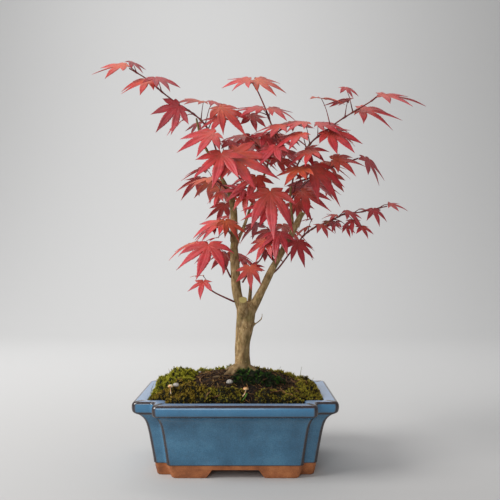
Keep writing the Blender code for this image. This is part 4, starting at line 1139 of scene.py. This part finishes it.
def crumbled_height(x, y):
    """The mound with its hollows and crumbs."""
    p = Vector((x, y, 0))
    uneven = 1.6 * noise.noise(p / 11) + 0.9 * noise.noise(p / 4.2 + Vector((5, 0, 0)))
    return soil_height(x, y) + uneven + 0.5 * noise.noise(p / 1.7 + Vector((0, 9, 0)))


def soil_mesh():
    """Rings from the pot's wall in to the trunk, closed underneath, with small crumbs as noise."""
    outline, ridges = rounded(notched_corners(*INSIDE_SOIL, -SOIL_INSET), 3.4, 4)
    dense = []
    for a, b in zip(outline, outline[1:] + outline[:1]):
        parts = max(1, round((b - a).length / SOIL_SPACING))
        dense += [a.lerp(b, k / parts) for k in range(parts)]
    centre = Vector((TRUNK[0][0][0], 0))
    low = [Vector((p.x * 0.9, p.y * 0.9, 13.6)) for p in dense]
    loops = [low, [Vector((p.x, p.y, 62.0)) for p in dense]]
    shares = [1 - RING_STEP * k for k in range(1, SOIL_RINGS + 1)]
    loops.append([Vector((p.x, p.y, crumbled_height(p.x, p.y) - 1.0)) for p in dense])
    for share in shares:
        ring = [centre + (p - centre) * share for p in dense]
        loops.append([Vector((p.x, p.y, crumbled_height(p.x, p.y))) for p in ring])
    return loft(loops)


# %% Small shapes to scatter


def crumb():
    """A five-sided crumb of soil about one unit across."""
    draw = random.Random(5)
    loops = []
    for k, (z, r) in enumerate([(-0.4, 0.3), (-0.1, 0.5), (0.25, 0.42), (0.42, 0.18)]):
        loop = []
        for i in range(5):
            turn = 2 * math.pi * i / 5 + 0.4 * k
            x = r * math.cos(turn) * draw.uniform(0.8, 1.2)
            loop.append(Vector((x, r * math.sin(turn) * draw.uniform(0.8, 1.2), z)))
        loops.append(loop)
    return loft(loops)


def moss_tuft():
    """A moss shoot one unit high: seven leaves in a loose spiral, each a closed three-sided spike."""
    points, faces, tips = [], [], []
    for i in range(7):
        turn = 2.4 * i
        out = Vector((math.cos(turn), math.sin(turn), 0))
        side = Vector((-out.y, out.x, 0))
        root = out * 0.05 + Vector((0, 0, 0.05 * i))
        start = len(points)
        points += [root - side * 0.09, root + side * 0.09, root - out * 0.07 + Vector((0, 0, 0.16)),
                   out * (0.42 - 0.05 * i) + Vector((0, 0, 0.5 + 0.08 * i))]
        tips += [0.0, 0.0, 0.15, 1.0]
        a, b, c, d = range(start, start + 4)
        faces += [(a, b, d), (b, c, d), (c, a, d), (c, b, a)]
    return (points, faces), tips


def fibre():
    """A dead root or needle lying flat, about one unit long, bent like a bow."""
    draw = random.Random(8)
    route = smooth_route([(-0.5, 0, 0.03), (-0.2, 0.1, 0.08), (0.15, 0.12, 0.05), (0.5, -0.05, 0.08)], 0.2)
    route = [p + Vector((0, 0, draw.uniform(0, 0.04))) for p in route]
    return tube(route, [0.03, 0.045, 0.02], 4)


def unit_object(name, shape, tips=None):
    """A shape one unit across, kept out of the scene for Geometry Nodes to instance."""
    mesh = bpy.data.meshes.new(name)
    mesh.from_pydata([p * MM for p in shape[0]], [], shape[1])
    mesh.attributes.new("tip", "FLOAT", "POINT").data.foreach_set("value", tips or [1.0] * len(shape[0]))
    return bpy.data.objects.new(name, mesh)


# %% The scattering tree


def scatter_tree(name):
    """Strews instances of a shape over a mesh. Inputs: shape, density, smallest and largest size, tilt,
    the lowest upward slope that carries any, seed and finish."""
    tree = bpy.data.node_groups.new(name, "GeometryNodeTree")
    face = tree.interface
    face.new_socket("Geometry", in_out="INPUT", socket_type="NodeSocketGeometry")
    face.new_socket("Shape", in_out="INPUT", socket_type="NodeSocketObject")
    for title in ("Density", "Smallest", "Largest", "Tilt", "Least upward"):
        face.new_socket(title, in_out="INPUT", socket_type="NodeSocketFloat")
    face.new_socket("Seed", in_out="INPUT", socket_type="NodeSocketInt")
    face.new_socket("Finish", in_out="INPUT", socket_type="NodeSocketMaterial")
    face.new_socket("Geometry", in_out="OUTPUT", socket_type="NodeSocketGeometry")
    given = add(tree, "NodeGroupInput").outputs
    normal = add(tree, "GeometryNodeInputNormal")
    upward = add(tree, "ShaderNodeSeparateXYZ", {"Vector": normal.outputs[0]})
    steep = add(tree, "FunctionNodeCompare", {0: upward.outputs["Z"], 1: given["Least upward"]},
                data_type="FLOAT", operation="GREATER_THAN")
    strewn = add(tree, "GeometryNodeDistributePointsOnFaces",
                 {"Mesh": given["Geometry"], "Selection": steep.outputs[0], "Density": given["Density"],
                  "Seed": given["Seed"]})
    lean = add(tree, "FunctionNodeRandomValue", {"Min": (-1, -1, -3.1), "Max": (1, 1, 3.1),
                                                 "Seed": given["Seed"]}, data_type="FLOAT_VECTOR")
    tilt = add(tree, "ShaderNodeCombineXYZ", {"X": given["Tilt"], "Y": given["Tilt"], "Z": 1.0})
    leaning = add(tree, "ShaderNodeVectorMath", {0: lean.outputs[0], 1: tilt.outputs[0]},
                  operation="MULTIPLY")
    turned = add(tree, "FunctionNodeRotateRotation", {"Rotation": strewn.outputs["Rotation"],
                                                      "Rotate By": leaning.outputs[0]},
                 rotation_space="LOCAL")
    size = add(tree, "FunctionNodeRandomValue", {2: given["Smallest"], 3: given["Largest"],
                                                 "Seed": given["Seed"]}, data_type="FLOAT")
    seen = add(tree, "GeometryNodeObjectInfo", {"Object": given["Shape"]})
    placed = add(tree, "GeometryNodeInstanceOnPoints",
                 {"Points": strewn.outputs["Points"], "Instance": seen.outputs["Geometry"],
                  "Rotation": turned.outputs[0], "Scale": size.outputs[1]})
    shade = add(tree, "FunctionNodeRandomValue", {2: 0.0, 3: 1.0, "Seed": 7}, data_type="FLOAT")
    kept = add(tree, "GeometryNodeStoreNamedAttribute",
               {"Geometry": placed.outputs[0], "Name": "shade", "Value": shade.outputs[1]},
               data_type="FLOAT", domain="INSTANCE")
    real = add(tree, "GeometryNodeRealizeInstances", {"Geometry": kept.outputs[0]})
    dressed = add(tree, "GeometryNodeSetMaterial",
                  {"Geometry": real.outputs[0], "Material": given["Finish"]})
    out = add(tree, "NodeGroupOutput")
    tree.links.new(dressed.outputs[0], out.inputs[0])
    return tree


scatter = scatter_tree("strewn_pieces")


def strew(name, ground, finish, **values):
    """A new object: the scattering tree run on a copy of the ground and turned into plain mesh."""
    made = bpy.data.objects.new(name, ground.data.copy())
    made.data.materials.clear()
    bpy.context.scene.collection.objects.link(made)
    live = made.modifiers.new("strewn", "NODES")
    live.node_group = scatter
    values["Finish"] = finish
    for item in scatter.interface.items_tree:
        if item.in_out == "INPUT" and item.name in values:
            live[item.identifier] = values[item.name]
    return baked(made)


# %% Soil and moss materials


def ground_finish(name, stops, size, depth, roughness=0.75):
    """A granular or leafy finish. Clumps of a real size and each piece's own shade choose the colour, and
    the foot of every piece is as dark as the given depth, because light hardly reaches it."""
    made, tree, shader = new_material(name)
    place = add(tree, "ShaderNodeTexCoord").outputs["Object"]
    clumps = add(tree, "ShaderNodeTexNoise", {"Vector": place, "Scale": per_mm(size), "Detail": 4.0,
                                              "Roughness": 0.62})
    shade = add(tree, "ShaderNodeAttribute", attribute_name="shade").outputs["Fac"]
    part = add(tree, "ShaderNodeMath", {0: shade, 1: 0.3, 2: -0.15}, operation="MULTIPLY_ADD")
    tone = add(tree, "ShaderNodeMath", {0: clumps.outputs["Fac"], 1: part.outputs[0]}, operation="ADD")
    colour = add(tree, "ShaderNodeValToRGB", {"Fac": tone.outputs[0]}, stops)
    tip = add(tree, "ShaderNodeAttribute", attribute_name="tip").outputs["Fac"]
    lit = add(tree, "ShaderNodeMapRange", {"Value": tip, "To Min": depth, "To Max": 1.0})
    seen = add(tree, "ShaderNodeVectorMath", {0: colour.outputs["Color"], "Scale": lit.outputs[0]},
               operation="SCALE")
    tree.links.new(seen.outputs[0], shader.inputs["Base Color"])
    shader.inputs["Roughness"].default_value = roughness
    shader.inputs["Specular IOR Level"].default_value = 0.25
    bump = add(tree, "ShaderNodeBump", {"Height": clumps.outputs["Fac"], "Distance": 0.4 * MM,
                                        "Strength": 0.6})
    tree.links.new(bump.outputs["Normal"], shader.inputs["Normal"])
    return made


soil_finish = ground_finish("damp_leaf_mould", [(0.3, "#0f0a06"), (0.48, "#20150c"), (0.6, "#37261a"),
                                                (0.75, "#5c4226")], 3.0, 0.6, 0.9)
fibre_finish = ground_finish("dead_roots_and_needles", [(0.3, "#2a1a0c"), (0.5, "#553a1e"),
                                                        (0.62, "#7c5a30"), (0.75, "#a08248")], 6.0, 1.0)
# Dead moss thatch under the tufts, its colours darkened almost to black as painted shade in the gaps between
# tufts.
thatch_and_gap_shade_finish = ground_finish("moss_thatch_and_painted_gap_shade", [(0.35, "#0e1004"), (0.55, "#1f210a"),
                                                   (0.7, "#352e10")], 4.0, 1.0, 0.9)
bright_moss = ground_finish("sunlit_cushion_moss", [(0.3, "#4a4a0e"), (0.42, "#8a8c1c"), (0.52, "#bdb92c"),
                                                    (0.64, "#dcd248")], 8.0, 0.15)
gold_moss = ground_finish("dry_golden_moss", [(0.3, "#3a2c0a"), (0.43, "#80651a"), (0.53, "#b59a2a"),
                                              (0.66, "#cfae48")], 7.0, 0.15)
olive_moss = ground_finish("olive_carpet_moss", [(0.32, "#221a08"), (0.42, "#5c4812"), (0.51, "#9a8426"),
                                                 (0.62, "#bdb23a")], 9.0, 0.12)
dark_moss = ground_finish("shaded_dark_moss", [(0.3, "#0a1604"), (0.47, "#18300a"), (0.6, "#2c5614"),
                                               (0.72, "#56821e")], 6.0, 0.1)

# %% Make the soil
soil = new_object("soil_mound", soil_mesh())
soil.data.materials.append(soil_finish)
crumb_unit = unit_object("crumb_unit", crumb())
crumbs = strew("soil_crumbs", soil, soil_finish, Shape=crumb_unit, Density=150000.0, Smallest=0.9,
               Largest=2.6, Tilt=1.5, Seed=3, **{"Least upward": 0.35})
fibre_unit = unit_object("fibre_unit", fibre())
fibres = strew("soil_fibres", soil, fibre_finish, Shape=fibre_unit, Density=60000.0, Smallest=3.0,
               Largest=9.0, Tilt=0.35, Seed=14, **{"Least upward": 0.5})
for piece in (soil, crumbs, fibres):
    settle(piece, "soil", "soil")

# %% Moss cushions
# Bearing range round the trunk, share of the way from the trunk to the wall, thickness, finish, tufts per
# square metre, smallest and largest tuft
MOSS = {
    "moss_left_bright": (148, 206, 0.58, 1.03, 11.5, bright_moss, 420000, 1.9, 3.9),
    "moss_left_gold": (202, 231, 0.66, 1.02, 7.5, gold_moss, 420000, 1.9, 3.7),
    "moss_front": (228, 272, 0.74, 1.0, 5.0, olive_moss, 400000, 1.8, 3.6),
    "moss_centre_dark": (250, 334, 0.22, 0.62, 6.5, dark_moss, 300000, 2.2, 4.4),
    "moss_right_front": (286, 326, 0.80, 1.0, 5.0, olive_moss, 380000, 1.8, 3.4),
    "moss_right_side": (326, 390, 0.76, 1.03, 7.0, olive_moss, 380000, 1.9, 3.8),
    "moss_back_right": (30, 88, 0.58, 0.99, 6.5, olive_moss, 260000, 2.4, 4.4),
    "moss_back_left": (90, 148, 0.58, 0.99, 7.0, bright_moss, 260000, 2.4, 4.4),
}
MOSS_GRID = 30


def wall_distance(bearing):
    """How far the pot's inner wall is from the trunk in one direction."""
    way = Vector((math.cos(bearing), math.sin(bearing)))
    far = 30.0
    while inside_notches(TRUNK[0][0][0] + far * way.x, far * way.y, 0.6) > 0:
        far += 0.5
    return far


def cushion_shape(bearing_from, bearing_to, share_from, share_to, thick, seed):
    """A lumpy closed cushion on the mound: full in the middle, feathering out at a ragged edge."""
    over, under = [], []
    for a in range(MOSS_GRID + 1):
        u = a / MOSS_GRID
        for b in range(MOSS_GRID + 1):
            v = b / MOSS_GRID
            ragged = 0.05 * noise.noise(Vector((6 * u, 6 * v, seed)))
            bearing = math.radians(bearing_from + (bearing_to - bearing_from) * (v + ragged))
            far = wall_distances[round(math.degrees(bearing)) % 360]
            share = share_from + (share_to - share_from) * u
            share += 0.06 * noise.noise(Vector((7 * v, seed, 2))) * (1 - u) - 0.01
            away = far * share
            p = Vector((TRUNK[0][0][0] + away * math.cos(bearing), away * math.sin(bearing), 0))
            dome = 1 - abs(2 * u - 1) ** (4 if u < 0.5 else 12)
            dome *= 1 - abs(2 * v - 1) ** 4
            lumps = 0.7 + 0.9 * noise.noise(p / 7 + Vector((seed, 0, 0))) + 0.35 * noise.noise(p / 3)
            base = crumbled_height(p.x, p.y)
            over.append(Vector((p.x, p.y, base + 0.2 + thick * dome * lumps)))
            under.append(Vector((p.x, p.y, base - 1.2)))
    width = MOSS_GRID + 1
    total = width * width
    faces = []
    for a in range(MOSS_GRID):
        for b in range(MOSS_GRID):
            q = (a * width + b, a * width + b + 1, (a + 1) * width + b + 1, (a + 1) * width + b)
            faces += [tuple(reversed(q)), tuple(i + total for i in q)]
    border = list(range(width)) + [a * width + MOSS_GRID for a in range(1, width)]
    border += [MOSS_GRID * width + b for b in range(MOSS_GRID - 1, -1, -1)]
    border += [a * width for a in range(MOSS_GRID - 1, 0, -1)]
    for u, v in zip(border, border[1:] + border[:1]):
        faces.append((u, u + total, v + total, v))
    return over + under, faces


cushions = []
wall_distances = [wall_distance(math.radians(degree)) for degree in range(360)]
tuft_unit = unit_object("tuft_unit", *moss_tuft())
for seed, (name, values) in enumerate(MOSS.items()):
    *ranges, thick, finish, density, smallest, largest = values
    cushion = new_object(name + "_cushion", cushion_shape(*ranges, thick, seed * 3.7))
    # The cushion under the tufts carries the thatch colour with its painted gap shade.
    cushion.data.materials.append(thatch_and_gap_shade_finish)
    check = bmesh.new()
    check.from_mesh(cushion.data)
    bmesh.ops.recalc_face_normals(check, faces=check.faces)
    check.to_mesh(cushion.data)
    check.free()
    tufts = strew(name + "_tufts", cushion, finish, Shape=tuft_unit, Density=float(density),
                  Smallest=smallest, Largest=largest, Tilt=0.7, Seed=seed + 1, **{"Least upward": 0.15})
    slot = {bright_moss: "moss_bright", dark_moss: "moss_dark"}.get(finish, "moss_olive")
    cushions.append(settle(cushion, slot, name))
    settle(tufts, slot, name)

# %% [markdown]
# ## Litter, stones and toadstools
# What makes the mound look alive is the untidy part: a mat of fine roots, a few straws and grass stems,
# some grit and two tiny toadstools. Each lies on whatever is under it, so a ray is dropped onto the soil
# and the moss at every step of its way, and its middle line follows at its own thickness above that.

# %% A surface to lie on
ground_points, ground_faces = [], []
for ground in [soil] + cushions:
    start = len(ground_points)
    ground_points += [(v.co - HOME) / MM for v in ground.data.vertices]
    ground_faces += [tuple(start + i for i in face.vertices) for face in ground.data.polygons]
surface = BVHTree.FromPolygons(ground_points, ground_faces)


def ground_under(x, y):
    """The height of the moss or soil at a place."""
    hit = surface.ray_cast(Vector((x, y, 150)), Vector((0, 0, -1)))[0]
    return hit.z if hit else SOIL_EDGE


def lying(route, lift):
    """A flat route dropped onto the ground."""
    return [Vector((p.x, p.y, ground_under(p.x, p.y) + lift)) for p in route]


# %% The mat of fine roots
# Middle, half size, number of roots and their seed
ROOT_MATS = [((-22, -14), (24, 20), 46, 4), ((34, -14), (26, 22), 44, 5), ((5, 30), (40, 18), 30, 6)]


def fine_root(draw, middle, half):
    """One wandering root: its direction drifts a little at each step."""
    x = middle[0] + draw.uniform(-1, 1) * half[0]
    y = middle[1] + draw.uniform(-1, 1) * half[1]
    bearing, steps = draw.uniform(0, 2 * math.pi), draw.randint(5, 14)
    turn = draw.uniform(-0.25, 0.25)
    way = []
    for k in range(steps):
        way.append(Vector((x, y, 0)))
        bearing += turn + draw.uniform(-0.35, 0.35)
        x += 2.2 * math.cos(bearing)
        y += 2.2 * math.sin(bearing)
    thick = draw.choice([0.3, 0.35, 0.4, 0.5, 0.8])
    hop = draw.uniform(0.0, 1.6)
    route = lying(way, 0.3 * thick)
    for k, p in enumerate(route):
        p.z += hop * math.sin(math.pi * k / (steps - 1))
    return tube(smooth_route(route, 1.5), [thick * 0.6, thick, thick * 0.4], 5)


mats = []
for middle, half, number, seed in ROOT_MATS:
    draw = random.Random(seed)
    mats += [fine_root(draw, middle, half) for k in range(number)]
root_mat = new_object("fine_roots", joined(mats))
root_finish = ground_finish("fine_brown_roots", [(0.3, "#2a1a0e"), (0.5, "#503820"), (0.7, "#7a5c36")],
                            5.0, 1.0)
root_mat.data.materials.append(root_finish)
settle(root_mat, "soil", "soil")

# %% Straws and grass
# Straws lie on the moss: thickness, then the places they pass. Stems stand in it: foot, lean and height.
STRAWS = {
    "straw_left": (0.55, [(-57, -25), (-52, -25)]),
    "straw_wall_left": (0.5, [(-61, -54), (-57, -53), (-53, -50)]),
    "straw_front": (0.5, [(-22, -55), (-18, -54), (-14, -52)]),
    "straw_front_left": (0.5, [(-29, -57), (-26, -54), (-23, -50)]),
    "pink_root": (0.7, [(-32.5, -12), (-36, -20), (-36, -28), (-33, -35)]),
    "golden_root": (0.8, [(57, 0), (66, -8), (74, -15)]),
    "olive_stem": (0.7, [(33.6, -50), (41, -49), (48, -50), (60, -55)]),
    "white_fibre": (0.45, [(59.6, -40), (63, -41), (66.6, -40)]),
}
STEMS = [((-52.4, -3), (0.5, 0), 10), ((-88, -15), (4, 0), 13), ((-36, 10), (5, 0), 8),
         ((67, 5), (2, 0), 15), ((55.6, 5), (0, 0), 6), ((-70, 2), (-2, 1), 7), ((44, 12), (3, 2), 9),
         ((78, -8), (2, 0), 8)]


def stem_shape(foot, lean, height):
    """A thin grass stem that bends the way it leans."""
    low = Vector((foot[0], foot[1], ground_under(*foot) - 1))
    top = low + Vector((lean[0], lean[1], height + 1))
    middle = low.lerp(top, 0.55) - Vector((lean[0], lean[1], 0)) * 0.25
    return tube(smooth_route([low, middle, top], 1.5), [0.32, 0.25, 0.12], 5)


straw_shapes = [tube(lying(smooth_route([(x, y, 0) for x, y in way], 1.2), 0.8 + thick),
                     [thick * 0.7, thick, thick * 0.5], 6) for thick, way in STRAWS.values()]
litter = new_object("straws", joined(straw_shapes))
litter.data.materials.append(ground_finish("bleached_straw", [(0.3, "#5a3a20"), (0.5, "#a47a4c"),
                                                              (0.7, "#c8a878")], 6.0, 1.0, 0.6))
settle(litter, "soil", "moss_front")
grass = new_object("grass_stems", joined([stem_shape(*stem) for stem in STEMS]))
grass.data.materials.append(ground_finish("drying_grass_stem", [(0.3, "#5c5a24"), (0.5, "#8a8238"),
                                                                (0.7, "#b3a860")], 6.0, 1.0, 0.6))
settle(grass, "moss_olive", "moss_front")

# %% Green blades
# Thickness, then the places that a blade passes
BLADES = [(0.9, [(10, -25, 86), (11.5, -25, 91), (13.5, -25, 96), (16, -25, 99.5)]),
          (0.8, [(11.2, -55, 79.5), (9.6, -57, 76.5), (7.5, -58, 74), (5.4, -57, 71.8)]),
          (0.7, [(20, -30, 85), (22, -31, 90), (26, -32, 93)])]
blades = new_object("green_blades", joined([tube(smooth_route(way, 1.5), [thick, thick * 0.8, 0.15], 6)
                                            for thick, way in BLADES]))
blades.data.materials.append(ground_finish("young_grass_blade", [(0.3, "#3c5c14"), (0.5, "#5c8420"),
                                                                 (0.7, "#8ea82e")], 6.0, 1.0, 0.5))
settle(blades, "moss_dark", "moss_centre_dark")

# %% Grit and stones


def pebble_form(node, seed):
    """A stone where the frame has one: a ball pushed in and out by noise and flattened in places."""
    low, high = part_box(node)
    middle = ((low + high) / 2 - HOME) / MM
    half = (high - low) / 2 / MM
    loops = []
    for k in range(1, 12):
        turn = math.pi * k / 12
        loop = []
        for i in range(18):
            round_way = 2 * math.pi * i / 18
            way = Vector((math.sin(turn) * math.cos(round_way), math.sin(turn) * math.sin(round_way),
                          -math.cos(turn)))
            push = 0.97 + 0.16 * noise.noise(way * 1.3 + Vector((seed, 0, 0)))
            push -= 0.1 * max(0.0, way.dot(Vector((0.6, -0.6, 0.5))) - 0.7)
            loop.append(middle + Vector([way[a] * half[a] * push for a in range(3)]))
        loops.append(loop)
    return loft(loops)


def stone():
    """River grit: pale grey, mottled with buff and dark grains."""
    stops = [(0.32, "#4c4a48"), (0.46, "#8b8681"), (0.56, "#aaa59e"), (0.7, "#c9c4ba")]
    made, shader = mottled("pale_river_grit", 1.6, stops, detail=5.0, coarse=0.7, relief=0.3)
    shader.inputs["Roughness"].default_value = 0.8
    return made


stone_finish = stone()
for seed, name in enumerate(("pebble_left", "pebble_centre", "pebble_back")):
    pebble = new_object(name + "_stone", pebble_form(name, seed * 5.3))
    pebble.data.materials.append(stone_finish)
    settle(pebble, "pebble", name)

# %% Toadstools


def toadstool_form(node, lean):
    """A curved stalk and a domed cap with a hollow underside, inside the frame's box of the node."""
    low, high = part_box(node)
    low, high = (low - HOME) / MM, (high - HOME) / MM
    reach = (high.y - low.y) / 2
    cap = Vector(((low.x + reach) if lean < 0 else (high.x - reach), (low.y + high.y) / 2, high.z - 2.4))
    foot = Vector((cap.x - lean, cap.y, low.z))
    stalk = tube(smooth_route([foot, foot.lerp(cap, 0.5) + Vector((0.3 * lean, 0, 0)),
                               cap + Vector((0, 0, 0.8))], 0.8), [0.62, 0.5, 0.55], 10)
    rings = [(-0.2, 0.5), (-0.1, 1.7), (-0.35, 2.5), (-0.2, 2.75), (0.4, 2.8), (1.2, 2.35), (1.8, 1.5),
             (2.1, 0.5)]
    turns = [2 * math.pi * k / 24 for k in range(24)]
    loops = [[cap + Vector((r * math.cos(t), r * math.sin(t), z)) for t in turns] for z, r in rings]
    return joined([stalk, loft(loops)])


def toadstool_skin():
    """A small cap fungus: cream, with buff and orange where it dries."""
    stops = [(0.35, "#a9703c"), (0.5, "#cfa878"), (0.66, "#dccbb0")]
    made, shader = mottled("cream_cap_fungus", 2.4, stops)
    shader.inputs["Roughness"].default_value = 0.5
    shader.inputs["Subsurface Weight"].default_value = 0.2
    shader.inputs["Subsurface Scale"].default_value = 1.0 * MM
    return made


toadstool_finish = toadstool_skin()
for name, lean in (("mushroom_left", -0.5), ("mushroom_centre", 3.0)):
    toadstool = new_object(name + "_cap", toadstool_form(name, lean))
    toadstool.data.materials.append(toadstool_finish)
    settle(toadstool, "mushroom", name)

# %% Drain screens and their wires


def screen_plastic():
    """Black polyethylene net: dull, with a fine mesh too small to model at this size."""
    made, tree, shader = new_material("black_plastic_net")
    place = add(tree, "ShaderNodeTexCoord").outputs["Object"]
    net = add(tree, "ShaderNodeTexChecker", {"Vector": place, "Scale": per_mm(1.5),
                                             "Color1": linear("#16181a"), "Color2": linear("#2a2d2f")})
    tree.links.new(net.outputs["Color"], shader.inputs["Base Color"])
    shader.inputs["Roughness"].default_value = 0.6
    return made


def anodised_wire():
    """Annealed aluminium bonsai wire: brown anodised, scuffed brighter in places."""
    stops = [(0.4, "#6b4a34"), (0.6, "#8f6c50"), (0.75, "#c4b4a4")]
    made, shader = mottled("brown_anodised_wire", 3, stops, detail=4.0)
    shader.inputs["Metallic"].default_value = 1.0
    shader.inputs["Roughness"].default_value = 0.35
    return made


net_finish, wire_finish = screen_plastic(), anodised_wire()
for name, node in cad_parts.items():
    if name.startswith("drain_"):
        node.data.materials.clear()
        node.data.materials.append(wire_finish if "wire" in name else net_finish)
        print(name, node.data.materials[0].name)

# %% [markdown]
# ## Colour of the foliage
# An autumn leaf is one pigment over another: crimson all through, maroon in blotches, orange at the heart
# of the younger ones, and paler along the veins. The veins follow each lobe, so they are drawn in the
# blade's own UV map, with a comb of slanted lines from the midrib, while the blotches read the object.

# %% Leaf and young bark materials


def maple_leaf():
    """Autumn-red maple leaf: thin and slightly waxy, so its top is pink where light rakes it, with light
    coming through it. Young leaves stay orange at the heart, and the midrib and side veins are paler."""
    made, tree, shader = new_material("red_maple_leaf")
    place = add(tree, "ShaderNodeTexCoord").outputs["Object"]
    tint = add(tree, "ShaderNodeAttribute", attribute_name="tint").outputs["Fac"]
    web = add(tree, "ShaderNodeAttribute", attribute_name="web").outputs["Fac"]
    red = add(tree, "ShaderNodeValToRGB", {"Fac": tint},
              [(0.0, "#a01a28"), (0.4, "#b4242e"), (0.75, "#c23236"), (1.0, "#bf4c28")])
    blotch = add(tree, "ShaderNodeTexNoise", {"Vector": place, "Scale": per_mm(7), "Detail": 3.0})
    deep = add(tree, "ShaderNodeMapRange", {"Value": blotch.outputs["Fac"], "From Min": 0.4, "From Max": 0.7,
                                            "To Max": 0.6})
    dark = add(tree, "ShaderNodeMix", {"Factor": deep.outputs[0], 6: red.outputs["Color"],
                                       7: linear("#6c1018")}, data_type="RGBA")
    ripe = add(tree, "ShaderNodeMath", {0: web, 1: tint}, operation="MULTIPLY")
    ripe = add(tree, "ShaderNodeMath", {0: ripe.outputs[0], 1: 0.6}, operation="MULTIPLY")
    body = add(tree, "ShaderNodeMix", {"Factor": ripe.outputs[0], 6: dark.outputs[2],
                                       7: linear("#d0702c")}, data_type="RGBA")
    uv = add(tree, "ShaderNodeUVMap", uv_map="veins")
    parts = add(tree, "ShaderNodeSeparateXYZ", {"Vector": uv.outputs["UV"]})
    off = add(tree, "ShaderNodeMath", {0: parts.outputs["X"], 1: 0.5}, operation="SUBTRACT")
    off = add(tree, "ShaderNodeMath", {0: off.outputs[0]}, operation="ABSOLUTE")
    slant = add(tree, "ShaderNodeMath", {0: off.outputs[0], 1: -0.28, 2: parts.outputs["Y"]},
                operation="MULTIPLY_ADD")
    comb = add(tree, "ShaderNodeMath", {0: slant.outputs[0], 1: 10.0}, operation="MULTIPLY")
    comb = add(tree, "ShaderNodeMath", {0: comb.outputs[0], 1: 1.0}, operation="PINGPONG")
    side_vein = add(tree, "ShaderNodeMapRange", {"Value": comb.outputs[0], "From Min": 0.0, "From Max": 0.22,
                                                 "To Min": 0.55, "To Max": 0.0})
    midrib = add(tree, "ShaderNodeMapRange", {"Value": off.outputs[0], "From Min": 0.0, "From Max": 0.11,
                                              "To Min": 1.0, "To Max": 0.0})
    vein = add(tree, "ShaderNodeMath", {0: side_vein.outputs[0], 1: midrib.outputs[0]}, operation="MAXIMUM")
    weak = add(tree, "ShaderNodeMath", {0: vein.outputs[0], 1: 0.4}, operation="MULTIPLY")
    colour = add(tree, "ShaderNodeMix", {"Factor": weak.outputs[0], 6: body.outputs[2],
                                         7: linear("#c85058")}, data_type="RGBA")
    tree.links.new(colour.outputs[2], shader.inputs["Base Color"])
    bump = add(tree, "ShaderNodeBump", {"Height": vein.outputs[0], "Distance": 0.25 * MM, "Strength": 0.6})
    tree.links.new(bump.outputs["Normal"], shader.inputs["Normal"])
    shader.inputs["Roughness"].default_value = 0.48
    shader.inputs["Specular IOR Level"].default_value = 0.6
    shader.inputs["Subsurface Weight"].default_value = 0.12
    shader.inputs["Subsurface Radius"].default_value = (1.0, 0.25, 0.15)
    shader.inputs["Subsurface Scale"].default_value = 1.5 * MM
    shader.inputs["Sheen Weight"].default_value = 0.15
    shader.inputs["Sheen Roughness"].default_value = 0.4
    shader.inputs["Sheen Tint"].default_value = linear("#f0b8c0")
    return made


def young_bark():
    """This year's shoots: smooth dark red skin that turns olive where it has been in the shade."""
    made, shader = mottled("young_maple_bark", 9, [(0.35, "#5e1c1e"), (0.55, "#7e2a28"), (0.72, "#6d5a2c")])
    shader.inputs["Roughness"].default_value = 0.5
    return made


# %% Make the foliage
leaf_finish, shoot_finish = maple_leaf(), young_bark()
for shoot in SHOOTS:
    blades, stems = foliage(shoot), twigs(shoot)
    blades.data.materials.append(leaf_finish)
    stems.data.materials.append(shoot_finish)
    settle(blades, "leaf_red", "leaves_" + shoot)
    settle(stems, "leaf_red", "leaves_" + shoot)
